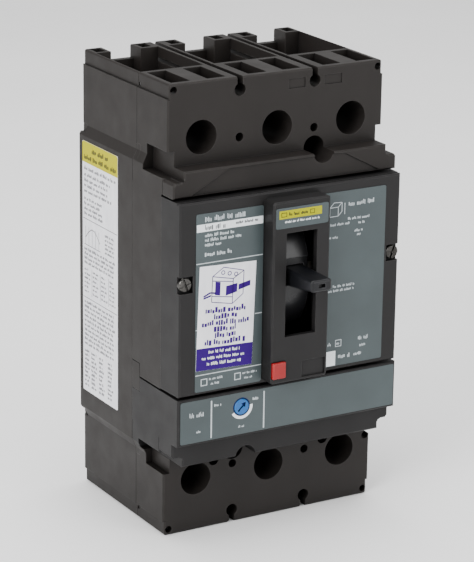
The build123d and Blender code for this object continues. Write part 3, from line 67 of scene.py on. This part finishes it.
# ---- material building --------------------------------------------------------------
class Surface:
    """A Principled material whose colour, roughness and normal are built from noise."""

    def __init__(self, name):
        self.material = bpy.data.materials.new(name)
        self.material.use_nodes = True
        self.tree = self.material.node_tree
        self.shader = self.tree.nodes["Principled BSDF"]
        self.coords = self.tree.nodes.new("ShaderNodeTexCoord").outputs["Object"]

    def set(self, **values):
        for name, value in values.items():
            self.shader.inputs[name.replace("_", " ")].default_value = value
        return self

    def node(self, kind, **inputs):
        made = self.tree.nodes.new(kind)
        for name, value in inputs.items():
            socket = made.inputs[int(name[1:])] if name[1:].isdigit() else made.inputs[name]
            if isinstance(value, bpy.types.NodeSocket):
                self.tree.links.new(value, socket)
            else:
                socket.default_value = value
        return made

    def stretched(self, scale):
        mapping = self.node("ShaderNodeMapping", Vector=self.coords)
        mapping.inputs["Scale"].default_value = scale
        return mapping.outputs["Vector"]

    def noise(self, size_mm, detail=3.0, where=None):
        """Noise whose patches are about size_mm across."""
        made = self.node("ShaderNodeTexNoise", Vector=where or self.coords, Detail=detail)
        made.inputs["Scale"].default_value = 1.0 / (size_mm * MM)
        return made.outputs["Fac"]

    def spread(self, value, low, high, to_low=0.0, to_high=1.0):
        made = self.node("ShaderNodeMapRange", Value=value)
        made.inputs["From Min"].default_value = low
        made.inputs["From Max"].default_value = high
        made.inputs["To Min"].default_value = to_low
        made.inputs["To Max"].default_value = to_high
        return made.outputs["Result"]

    def mix(self, factor, a, b):
        made = self.tree.nodes.new("ShaderNodeMix")
        made.data_type = "RGBA"
        for socket, value in ((made.inputs[0], factor), (made.inputs[6], a), (made.inputs[7], b)):
            if isinstance(value, bpy.types.NodeSocket):
                self.tree.links.new(value, socket)
            elif isinstance(value, (int, float)):
                socket.default_value = value
            else:
                socket.default_value = (*value, 1.0)
        return made.outputs[2]

    def math(self, operation, a, b):
        made = self.tree.nodes.new("ShaderNodeMath")
        made.operation = operation
        for socket, value in ((made.inputs[0], a), (made.inputs[1], b)):
            if isinstance(value, bpy.types.NodeSocket):
                self.tree.links.new(value, socket)
            else:
                socket.default_value = value
        return made.outputs[0]

    def rounded(self, radius_mm):
        made = self.tree.nodes.new("ShaderNodeBevel")
        made.samples = 6
        made.inputs["Radius"].default_value = radius_mm * MM
        return made.outputs["Normal"]

    def edges(self, radius_mm):
        """1 along sharp edges, 0 on flats."""
        straight = self.tree.nodes.new("ShaderNodeNewGeometry").outputs["Normal"]
        dot = self.tree.nodes.new("ShaderNodeVectorMath")
        dot.operation = "DOT_PRODUCT"
        self.tree.links.new(self.rounded(radius_mm), dot.inputs[0])
        self.tree.links.new(straight, dot.inputs[1])
        return self.spread(dot.outputs["Value"], 0.995, 0.86)

    def recess(self, distance_mm, open_at=0.75, shut_at=0.15):
        """1 deep in corners and holes, 0 in the open; molded materials use it to paint shade there."""
        made = self.tree.nodes.new("ShaderNodeAmbientOcclusion")
        made.samples = 6
        made.inputs["Distance"].default_value = distance_mm * MM
        return self.spread(made.outputs["AO"], open_at, shut_at)

    def colour(self, socket):
        self.tree.links.new(socket, self.shader.inputs["Base Color"])
        return self

    def roughness(self, socket):
        self.tree.links.new(socket, self.shader.inputs["Roughness"])
        return self

    def bump(self, height, strength, depth_mm, normal=None):
        made = self.node("ShaderNodeBump", Height=height)
        made.inputs["Strength"].default_value = strength
        made.inputs["Distance"].default_value = depth_mm * MM
        if normal is not None:
            self.tree.links.new(normal, made.inputs["Normal"])
        self.tree.links.new(made.outputs["Normal"], self.shader.inputs["Normal"])
        return self


def molded(name, base, worn_and_highlight, rough=(0.44, 0.54), grain_mm=0.45, grain=0.25, flow=0.1, round_mm=0.35,
           gloss=0.18, shade=0.85):
    """Molded plastic: fine spark grain, faint flow streaks, edges lightened as rubbed wear and as
    painted highlight, and painted shade in recesses and seams.
    """
    s = Surface(name)
    flow_marks = s.noise(22, 4.0, s.stretched((1.0, 0.45, 0.3)))
    speckle = s.noise(0.7, 2.0)
    tone = s.spread(flow_marks, 0.3, 0.7)
    deep = tuple(c * (1 - flow) for c in base)
    light = tuple(min(1.0, c * (1 + flow)) for c in base)
    colour = s.mix(tone, deep, light)
    colour = s.mix(s.spread(speckle, 0.52, 0.7, 0.0, 0.35), colour, light)
    # Edges lightened towards the second colour under patchy noise: partly rubbed wear, partly painted
    # highlight.
    scuff_and_highlight = s.math("MULTIPLY", s.edges(round_mm * 1.6), s.spread(s.noise(4.0, 4.0), 0.35, 0.65))
    colour = s.mix(s.math("MULTIPLY", scuff_and_highlight, 0.5), colour, worn_and_highlight)
    # Painted shade: colour darkened towards a fifth of the base in recesses (12 mm reach, scaled by
    # shade) and in seams and creases (0.8 mm reach).
    dark = tuple(c * 0.2 for c in base)
    colour = s.mix(s.math("MULTIPLY", s.recess(12, 0.7, 0.2), shade), colour, dark)
    colour = s.mix(s.math("MULTIPLY", s.recess(0.8, 0.88, 0.55), 0.9), colour, dark)
    s.colour(colour)
    s.roughness(s.spread(s.noise(9, 3.0), 0.3, 0.7, *rough))
    height = s.math("ADD", s.noise(grain_mm, 2.0), s.math("MULTIPLY", s.noise(14, 2.0), 1.2))
    s.bump(height, grain, 0.06, s.rounded(round_mm))
    return s.set(IOR=1.5, Specular_IOR_Level=gloss)


def metal(name, base, dull, rough=(0.25, 0.45), streaks=(1.0, 1.0, 0.06), tarnish=0.5, anisotropy=0.3,
          round_mm=0.25):
    """Rolled or turned metal: drawn streaks, patchy tarnish, bright rubbed edges."""
    s = Surface(name)
    lines = s.noise(0.5, 4.0, s.stretched(streaks))
    patches = s.noise(7, 4.0)
    colour = s.mix(s.spread(patches, 0.38, 0.68, 0.0, tarnish), base, dull)
    colour = s.mix(s.spread(lines, 0.45, 0.75, 0.0, 0.35), colour, dull)
    bright = tuple(min(1.0, c * 1.25) for c in base)
    colour = s.mix(s.math("MULTIPLY", s.edges(round_mm * 1.5), 0.6), colour, bright)
    s.colour(colour)
    s.roughness(s.spread(s.math("ADD", lines, patches), 0.7, 1.3, *rough))
    s.bump(lines, 0.18, 0.03, s.rounded(round_mm))
    return s.set(Metallic=1.0, Anisotropic=anisotropy)


def printed_film(name, base, sheen, rough=(0.32, 0.46)):
    """Satin label film with a fine pebble and a slightly uneven tone."""
    s = Surface(name)
    tone = s.spread(s.noise(16, 3.0), 0.3, 0.7)
    colour = s.mix(tone, tuple(c * 0.9 for c in base), tuple(min(1, c * 1.08) for c in base))
    colour = s.mix(s.spread(s.noise(0.35, 2.0), 0.55, 0.75, 0.0, 0.3), colour, sheen)
    s.colour(colour)
    s.roughness(s.spread(s.noise(6, 3.0), 0.3, 0.7, *rough))
    s.bump(s.noise(0.3, 2.0), 0.12, 0.02, s.rounded(0.12))
    return s.set(IOR=1.5, Specular_IOR_Level=0.3)


def paper(name, base, fibre):
    """Printed paper under a thin film: faint fibre tone and low ripples."""
    s = Surface(name)
    tone = s.spread(s.noise(3.5, 5.0, s.stretched((1.0, 1.0, 0.4))), 0.35, 0.7)
    s.colour(s.mix(tone, base, fibre))
    s.roughness(s.spread(s.noise(2, 3.0), 0.3, 0.7, 0.38, 0.55))
    s.bump(s.noise(11, 3.0), 0.25, 0.08)
    return s.set(IOR=1.45)


def ink(name, base):
    """Screen-printed ink, a little uneven where it lies thin."""
    s = Surface(name)
    thin = s.spread(s.noise(0.8, 3.0), 0.5, 0.8, 0.0, 0.4)
    s.colour(s.mix(thin, base, tuple(c * 0.72 for c in base)))
    s.roughness(s.spread(s.noise(1.5, 2.0), 0.3, 0.7, 0.4, 0.55))
    s.bump(s.noise(0.4, 2.0), 0.15, 0.01)
    return s.set(IOR=1.45, Specular_IOR_Level=0.12)


# In each molded material the second colour lightens edges: partly rubbed wear, partly painted highlight.
MATERIALS = {
    "case_plastic": molded("case_plastic", (0.0132, 0.0112, 0.0102), (0.06, 0.056, 0.053)),
    "cover_plastic": molded("cover_plastic", (0.0112, 0.0106, 0.0108), (0.062, 0.06, 0.06)),
    "handle_plastic": molded("handle_plastic", (0.0045, 0.0048, 0.006), (0.08, 0.08, 0.085),
                             rough=(0.3, 0.42), grain=0.1, round_mm=0.6, gloss=0.26),
    "plate_grey_green": printed_film("plate_grey_green", (0.046, 0.06, 0.063), (0.07, 0.088, 0.09)),
    "plate_yellow": printed_film("plate_yellow", (0.046, 0.06, 0.063), (0.07, 0.088, 0.09)),
    "paper_white": paper("paper_white", (0.76, 0.76, 0.79), (0.66, 0.66, 0.7)),
    "button_red": molded("button_red", (0.25, 0.002, 0.003), (0.6, 0.12, 0.1), rough=(0.3, 0.4),
                         grain=0.1, flow=0.1, gloss=0.4),
    "dial_blue": molded("dial_blue", (0.004, 0.085, 0.28), (0.05, 0.18, 0.4), rough=(0.28, 0.4),
                        grain=0.1, flow=0.1, gloss=0.4),
    "screw_steel": metal("screw_steel", (0.085, 0.082, 0.078), (0.03, 0.028, 0.026), tarnish=0.85),
    "mechanism_steel": metal("mechanism_steel", (0.52, 0.5, 0.46), (0.34, 0.3, 0.22)),
    "spring_steel": metal("spring_steel", (0.45, 0.45, 0.46), (0.2, 0.2, 0.2)),
    "lug_aluminium": metal("lug_aluminium", (0.66, 0.67, 0.68), (0.45, 0.45, 0.45), rough=(0.35, 0.55)),
    "strap_copper": metal("strap_copper", (0.72, 0.36, 0.22), (0.4, 0.18, 0.1)),
    "blade_copper": metal("blade_copper", (0.76, 0.42, 0.27), (0.42, 0.22, 0.13)),
    "bimetal": metal("bimetal", (0.6, 0.52, 0.4), (0.4, 0.34, 0.24)),
    "soft_iron": metal("soft_iron", (0.28, 0.27, 0.27), (0.15, 0.13, 0.12), rough=(0.4, 0.6)),
    "cartridge_plastic": molded("cartridge_plastic", (0.2, 0.07, 0.04), (0.35, 0.2, 0.15)),
    "rotor_plastic": molded("rotor_plastic", (0.06, 0.045, 0.04), (0.2, 0.17, 0.15)),
    "trip_bar_plastic": molded("trip_bar_plastic", (0.55, 0.5, 0.4), (0.7, 0.66, 0.58), flow=0.1),
}
# Shield: its pale second colour paints highlight lines along its edges, and shade=0.2 keeps its painted
# recess shade weak.
SHIELD = molded("shield_plastic", (0.006, 0.006, 0.007), (0.24, 0.24, 0.25), rough=(0.26, 0.36),
                grain=0.1, gloss=0.34, shade=0.2)
INKS = {
    "white": ink("ink_white", (0.72, 0.75, 0.77)),
    "silver": ink("ink_silver", (0.46, 0.5, 0.52)),
    "grey": ink("ink_grey", (0.12, 0.12, 0.13)),
    "dark": ink("ink_dark", (0.02, 0.02, 0.022)),
    "purple": ink("ink_purple", (0.026, 0.002, 0.12)),
    "yellow": ink("ink_yellow", (0.34, 0.335, 0.0)),
    "amber": ink("ink_amber", (0.4, 0.37, 0.0)),
    "rim": ink("ink_rim", (0.004, 0.012, 0.09)),
}

for part in frame["record"]["subparts"]:
    mesh = frame["nodes"][part["node"]].data
    mesh.materials.clear()
    mesh.materials.append(MATERIALS[part["material_slot"]].material)
frame["nodes"]["handle_shield"].data.materials[0] = SHIELD.material


# ---- printed marks ------------------------------------------------------------------
class Print:
    """Thin ink shapes on one flat face, drawn in millimetres in that face's own axes."""

    def __init__(self, name, colour, body, slot, place):
        self.name, self.colour, self.body, self.slot, self.place = name, colour, body, slot, place
        self.mesh = bmesh.new()

    def polygon(self, points):
        low = [self.mesh.verts.new(self.place(u, v, -PRINT_SINK)) for u, v in points]
        high = [self.mesh.verts.new(self.place(u, v, PRINT_T)) for u, v in points]
        self.mesh.faces.new(high)
        self.mesh.faces.new(list(reversed(low)))
        for i in range(len(points)):
            j = (i + 1) % len(points)
            self.mesh.faces.new((low[i], low[j], high[j], high[i]))

    def bar(self, u0, u1, v0, v1):
        self.polygon([(u0, v0), (u1, v0), (u1, v1), (u0, v1)])

    def line(self, u0, v0, u1, v1, width):
        length = math.hypot(u1 - u0, v1 - v0)
        du, dv = -(v1 - v0) / length * width / 2, (u1 - u0) / length * width / 2
        self.polygon([(u0 - du, v0 - dv), (u1 - du, v1 - dv), (u1 + du, v1 + dv), (u0 + du, v0 + dv)])

    def frame(self, u0, u1, v0, v1, width):
        self.bar(u0, u1, v0, v0 + width)
        self.bar(u0, u1, v1 - width, v1)
        self.bar(u0, u0 + width, v0 + width, v1 - width)
        self.bar(u1 - width, u1, v0 + width, v1 - width)

    def row(self, u0, u1, v, height, weight=0.25, gaps=0.55):
        """A row of tally strokes in groups, standing for a line of small print."""
        u = u0
        while u < u1 - height * 0.3:
            for _ in range(random.randint(3, 8)):
                stroke = height * weight * random.uniform(0.7, 1.6)
                if u + stroke > u1:
                    break
                low = v - height * random.choice((0.5, 0.5, 0.35))
                self.bar(u, u + stroke, low, low + height * random.choice((0.62, 0.7, 0.95)))
                u += stroke + height * 0.13
            u += height * gaps

    def ring(self, u, v, r0, r1, start_deg, end_deg, steps=28):
        """An arc-shaped band, or a whole ring."""
        whole = end_deg - start_deg >= 360
        rows = []
        for i in range(steps + (0 if whole else 1)):
            a = math.radians(start_deg + (end_deg - start_deg) * i / steps)
            rows.append([self.mesh.verts.new(self.place(u + r * math.cos(a), v + r * math.sin(a), lift))
                         for r, lift in ((r0, 0.0), (r1, 0.0), (r1, PRINT_T), (r0, PRINT_T))])
        for i in range(steps):
            a, b = rows[i], rows[(i + 1) % len(rows)]
            for k in range(4):
                self.mesh.faces.new((a[k], a[(k + 1) % 4], b[(k + 1) % 4], b[k]))
        if not whole:
            self.mesh.faces.new(rows[0])
            self.mesh.faces.new(list(reversed(rows[-1])))

    def done(self):
        bmesh.ops.recalc_face_normals(self.mesh, faces=self.mesh.faces)
        data = bpy.data.meshes.new(self.name)
        self.mesh.to_mesh(data)
        self.mesh.free()
        made = bpy.data.objects.new(self.name, data)
        bpy.context.scene.collection.objects.link(made)
        data.materials.append(INKS[self.colour].material)
        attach(made, self.body)
        return made


def front_face(node, tilt_deg=0.0, about=(0.0, 0.0)):
    """Maps (x, z) in millimetres on a node's front face, turned about a point, to a place."""
    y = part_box(node)[0].y
    c, s = math.cos(math.radians(tilt_deg)), math.sin(math.radians(tilt_deg))

    def place(u, v, lift):
        x = about[0] + u * c + v * s
        z = about[1] - u * s + v * c
        return Vector((x * MM, y - lift, z * MM))
    return place


def left_face(node):
    """Maps (depth, z) in millimetres on a node's left face to a place."""
    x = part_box(node)[0].x
    return lambda u, v, lift: Vector((x - lift, -u * MM, v * MM))


def over(place):
    """The same face, one ink layer up."""
    return lambda u, v, lift: place(u, v, lift + PRINT_T)


def left_plate_print():
    place = front_face("left_name_plate")
    band = Print("print_left_plate_band", "white", "accessory_cover", "plate_grey_green", place)
    band.bar(-44.2, -13.9, 38.1, 41.2)
    band.done()
    p = Print("print_left_plate", "silver", "accessory_cover", "plate_grey_green", place)
    p.row(-40.5, -21.5, 43.1, 2.1, 0.16)
    p.row(-40.5, -27.0, 36.5, 1.3)
    p.row(-40.5, -23.5, 34.5, 1.3)
    p.row(-40.5, -32.0, 32.5, 1.3)
    p.row(-40.5, -28.0, 28.6, 1.7)
    p.bar(-44.3, -13.8, 24.9, 25.25)
    p.bar(-44.3, -13.8, -21.8, -21.45)
    p.bar(-44.3, -43.4, -2.6, -2.25)
    p.bar(-17.0, -13.8, 0.4, 0.75)
    for x in (-41.8, -26.2):
        p.frame(x, x + 3.0, -26.4, -23.4, 0.35)
        p.row(x + 3.8, x + 10.5, -23.9, 1.0)
        p.row(x + 4.6, x + 9.0, -26.0, 1.0)
    p.done()
    dark = Print("print_left_plate_dark", "dark", "accessory_cover", "plate_grey_green", over(place))
    dark.row(-40.5, -31.0, 39.6, 2.0, 0.16)
    dark.row(-26.5, -16.0, 40.0, 1.2)
    dark.done()


def right_plate_print():
    place = front_face("right_name_plate")
    p = Print("print_right_plate", "silver", "accessory_cover", "plate_grey_green", place)
    p.row(26.6, 39.0, 40.7, 1.9, 0.16)
    # small outline drawing of a box with its cover lifted
    for u0, v0, u1, v1 in ((17.6, 36.2, 21.6, 36.2), (21.6, 36.2, 21.6, 40.0), (21.6, 40.0, 17.6, 40.0),
                           (17.6, 40.0, 17.6, 36.2), (17.6, 40.0, 19.6, 42.0), (21.6, 40.0, 23.4, 41.8),
                           (19.6, 42.0, 23.4, 41.8), (23.4, 41.8, 23.4, 38.0), (21.6, 36.2, 23.4, 38.0)):
        p.line(u0, v0, u1, v1, 0.28)
    p.bar(24.6, 24.9, 36.6, 41.4)
    p.row(26.4, 37.5, 34.4, 1.1)
    p.row(15.0, 27.5, 32.7, 1.1)
    p.row(31.5, 34.8, 32.3, 1.1)
    p.row(29.8, 34.0, 29.0, 1.1)
    p.row(31.0, 32.8, 27.3, 1.1)
    p.row(15.0, 22.5, 27.3, 1.1)
    p.row(16.4, 30.5, 6.3, 1.1)
    p.row(16.0, 30.5, 4.5, 1.1)
    p.row(14.8, 20.0, -18.6, 1.4, 0.18)
    p.frame(21.8, 24.8, -20.0, -17.0, 0.28)
    p.row(22.4, 24.6, -18.5, 1.2)
    p.row(33.0, 38.0, -17.8, 1.7, 0.18)
    p.row(33.8, 37.4, -20.9, 1.4, 0.18)
    p.row(23.4, 29.4, -24.4, 1.9, 0.22)
    p.row(31.0, 36.0, -24.4, 1.4, 0.18)
    p.done()
    field = Print("print_right_plate_field", "white", "accessory_cover", "plate_grey_green", place)
    field.bar(13.9, 22.0, -28.0, -21.6)
    field.done()


def nose_print():
    place = front_face("nose_plate")
    band = Print("print_nose_band", "yellow", "accessory_cover", "plate_yellow", place)
    band.bar(-10.9, 9.0, 40.9, 44.3)
    band.done()
    marks = Print("print_nose_marks", "dark", "accessory_cover", "plate_yellow", over(place))
    marks.row(-6.4, 2.6, 42.6, 1.3)
    marks.frame(-10.0, -7.4, 41.7, 43.5, 0.22)
    marks.frame(3.4, 5.6, 41.7, 43.5, 0.22)
    marks.done()
    line = Print("print_nose_line", "white", "accessory_cover", "plate_yellow", place)
    line.row(-8.2, 8.4, 39.6, 0.9)
    line.done()


STICKER_CENTRE = (-30.5, 1.6)
STICKER_TILT = 2.0
STICKER_HALF = (13.0, 21.8)


def sticker_print():
    """Purple band, rows of small print and a line drawing of a breaker with its cover off."""
    place = front_face("notice_sticker", STICKER_TILT, STICKER_CENTRE)
    half_w, half_h = STICKER_HALF
    band = Print("print_sticker_band", "purple", "accessory_cover", "paper_white", place)
    band.bar(-half_w + 0.03, half_w - 0.03, -half_h + 0.03, -12.4)
    band.done()
    p = Print("print_sticker", "purple", "accessory_cover", "paper_white", place)
    for v, width in ((3.0, 9.6), (0.4, 5.6), (-2.3, 11.0), (-4.9, 5.4), (-7.6, 4.8), (-10.4, 9.4)):
        p.row(-width, width, v, 2.3, 0.33, 0.34)
    # breaker seen from a corner: outline, terminal holes, open bay and the lifted cover
    outline = ((-7.0, 6.6), (-7.0, 17.2), (-2.0, 20.6), (7.4, 18.4), (7.4, 8.6), (2.6, 5.0))
    outline += ((-7.0, 6.6), (-7.0, 17.2), (2.6, 15.4), (7.4, 18.4), (2.6, 15.4), (2.6, 5.0))
    for (u0, v0), (u1, v1) in zip(outline, outline[1:]):
        p.line(u0, v0, u1, v1, 0.32)
    for k in range(3):
        p.ring(-2.2 + 3.0 * k, 18.4 - 0.6 * k, 0.6, 0.95, 0, 360, 12)
    for v in (14.2, 7.8):
        p.line(-7.0, v + 1.2, 2.6, v, 0.32)
    p.polygon([(-5.6, 9.4), (-3.2, 9.0), (-3.2, 14.6), (-5.6, 15.0)])
    p.polygon([(-0.6, 8.6), (4.6, 9.8), (4.6, 13.4), (-0.6, 12.6)])
    p.polygon([(5.2, 10.4), (10.6, 11.8), (10.6, 14.0), (5.2, 12.8)])
    for u0, v0, u1, v1 in ((-10.8, 9.2, -7.8, 10.6), (-7.8, 10.6, -5.4, 10.2), (-10.8, 8.4, -7.4, 9.4)):
        p.line(u0, v0, u1, v1, 0.7)
    p.done()
    light = Print("print_sticker_light", "white", "accessory_cover", "paper_white", over(over(place)))
    for v, width in ((-14.2, 7.4), (-16.7, 10.4), (-19.2, 8.0)):
        light.row(-width, width, v, 1.3, 0.2)
    light.done()


def side_label_print():
    place = left_face("side_label")
    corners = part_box("side_label")
    bottom, top = corners[0].z / MM, corners[1].z / MM
    band = Print("print_side_band", "amber", "case", "paper_white", place)
    band.polygon([(3.55, top - 9.0), (34.75, top - 9.0), (34.75, top - 0.8), (34.0, top - 0.05),
                  (4.3, top - 0.05), (3.55, top - 0.8)])
    band.done()
    marks = Print("print_side_band_marks", "dark", "case", "paper_white", over(place))
    marks.row(12.0, 26.5, top - 3.2, 2.0, 0.25)
    marks.row(5.0, 33.5, top - 6.6, 2.0, 0.25)
    marks.done()
    p = Print("print_side_rows", "grey", "case", "paper_white", place)

    def rows(v, count, height, left=5.0, right=31.0, ragged=5.0):
        for _ in range(count):
            p.row(left, right - random.uniform(0, ragged), v, height, 0.24)
            v -= height * 1.65
        return v

    v = rows(top - 11.4, 1, 1.5, right=33.5, ragged=0.5)
    v = rows(v - 0.4, 4, 1.4, right=30.0)
    v = rows(v - 1.0, 4, 1.3, right=24.0)
    p.bar(4.0, 34.3, v - 0.4, v - 0.1)
    # small response curve with its notes
    v -= 2.4
    for k in range(5):
        p.line(6.0 + 2.6 * k, v - 6.0 + 4.6 * math.sin(k * 0.62), 8.6 + 2.6 * k,
               v - 6.0 + 4.6 * math.sin((k + 1) * 0.62), 0.35)
    for u in range(6, 20, 3):
        p.bar(u, u + 0.2, v - 9.0, v - 1.0)
    p.bar(5.0, 19.5, v - 9.2, v - 8.9)
    rows(v - 1.0, 5, 1.1, 23.5, 33.0, 2.0)
    v = rows(v - 11.0, 4, 1.2, right=33.0, ragged=6.0)
    # table
    for k in range(6):
        for u0 in (5.0, 12.5, 20.0, 27.5):
            p.row(u0, u0 + random.uniform(3.6, 5.8), v - 1.0 - 1.9 * k, 1.0, 0.24)
    for u in (11.6, 19.1, 26.6):
        p.bar(u, u + 0.22, v - 12.0, v)
    v -= 13.6
    p.bar(4.0, 34.3, v, v + 0.3)
    v = rows(v - 1.8, 10, 1.25, right=33.8, ragged=3.0)
    v -= 1.2
    while v > bottom + 2.5:
        for u0 in (5.0, 11.0, 18.0, 26.0):
            p.row(u0, u0 + random.uniform(3.0, 5.4), v, 1.2, 0.26)
        v -= 1.9
    p.done()


DIAL = (-22.6, -38.4)
DIAL_ARROW_DEPTH = 0.86 * MM  # just off the floor of the dial's slot


def trip_unit_print():
    place = front_face("trip_unit_plate")
    p = Print("print_trip_unit", "silver", "case", "plate_grey_green", place)
    for u in (-37.0, -12.3):
        p.bar(u, u + 0.6, -49.4, -33.4)
    p.row(-46.8, -40.0, -38.4, 1.9, 0.16)
    p.row(-43.6, -41.4, -45.8, 1.0)
    p.row(-24.0, -21.0, -46.8, 1.0)
    p.row(-35.4, -31.6, -35.6, 1.2)
    p.row(-17.4, -14.0, -36.0, 1.2)
    p.done()
    scale = Print("print_dial_scale", "white", "case", "plate_grey_green", place)
    scale.ring(*DIAL, 3.95, 5.2, -150, 5)
    scale.done()
    rim = Print("print_dial_rim", "rim", "case", "plate_grey_green", place)
    rim.ring(*DIAL, 3.74, 3.94, 0, 360, 40)
    rim.done()


def dial_arrow():
    """Dark paint in the arrow of the dial."""
    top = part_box("adjust_dial")[0].y + DIAL_ARROW_DEPTH
    c = math.cos(math.radians(45))

    def place(u, v, lift):
        return Vector(((DIAL[0] + (u + v) * c) * MM, top - lift, (DIAL[1] + (v - u) * c) * MM))
    p = Print("paint_dial_arrow", "rim", "dial", "dial_blue", place)
    p.bar(-0.37, 0.37, -2.36, 0.83)
    p.polygon([(-1.28, 0.83), (1.28, 0.83), (0, 2.6)])
    p.done()


left_plate_print()
right_plate_print()
nose_print()
sticker_print()
side_label_print()
trip_unit_print()
dial_arrow()


# ---- floor, light and camera --------------------------------------------------------
def stage_floor():
    z = CAD_BOX[0][2] - FLOOR_GAP
    corners = [(x * FLOOR_HALF, y * FLOOR_HALF, z) for x, y in ((-1, -1), (1, -1), (1, 1), (-1, 1))]
    data = bpy.data.meshes.new("floor")
    data.from_pydata(corners, [], [(0, 1, 2, 3)])
    floor = bpy.data.objects.new("floor", data)
    bpy.context.scene.collection.objects.link(floor)
    s = Surface("floor")
    s.colour(s.mix(s.spread(s.noise(180, 3.0), 0.3, 0.7), (0.86, 0.86, 0.86), (0.9, 0.9, 0.9)))
    s.set(Roughness=0.7)
    data.materials.append(s.material)


def lamp(name, place, target, size, power, colour=(1, 1, 1)):
    data = bpy.data.lights.new(name, "AREA")
    data.energy = power
    data.size = size
    data.color = colour
    lamp_object = bpy.data.objects.new(name, data)
    bpy.context.scene.collection.objects.link(lamp_object)
    lamp_object.location = place
    lamp_object.rotation_euler = (Vector(target) - Vector(place)).to_track_quat("-Z", "Y").to_euler()


def stage_light():
    middle = (0.0, -0.04, 0.0)
    lamp("key_left", (-1.2, -0.6, 0.7), middle, 0.8, 26.0)
    lamp("fill_front", (0.7, -1.5, 0.6), middle, 1.0, 14.0)
    lamp("top", (0.1, 0.1, 1.4), middle, 1.2, 24.0)
    world = bpy.data.worlds.new("studio")
    world.use_nodes = True
    world.node_tree.nodes["Background"].inputs[0].default_value = (1, 1, 1, 1)
    world.node_tree.nodes["Background"].inputs[1].default_value = 0.75
    bpy.context.scene.world = world


CAMERA_PLACE = (-0.52258, -0.92626, 0.32420)
CAMERA_FORWARD = (0.48400, 0.82105, -0.30268)
CAMERA_ROLL_DEG = 0.799
CAMERA_LENS_MM = 164.33
CAMERA_SHIFT = (0.0068, 0.0057)


def stage_camera():
    data = bpy.data.cameras.new("camera")
    data.lens = CAMERA_LENS_MM
    data.sensor_width = 36.0
    data.shift_x, data.shift_y = CAMERA_SHIFT
    data.clip_start = 0.01
    camera = bpy.data.objects.new("camera", data)
    bpy.context.scene.collection.objects.link(camera)
    forward = Vector(CAMERA_FORWARD).normalized()
    right = forward.cross(Vector((0, 0, 1))).normalized()
    up = right.cross(forward)
    roll = math.radians(CAMERA_ROLL_DEG)
    across = right * math.cos(roll) + up * math.sin(roll)
    upright = up * math.cos(roll) - right * math.sin(roll)
    axes = Matrix((across, upright, -forward)).transposed().to_4x4()
    camera.matrix_world = Matrix.Translation(Vector(CAMERA_PLACE)) @ axes
    bpy.context.scene.camera = camera


stage_floor()
stage_light()
stage_camera()
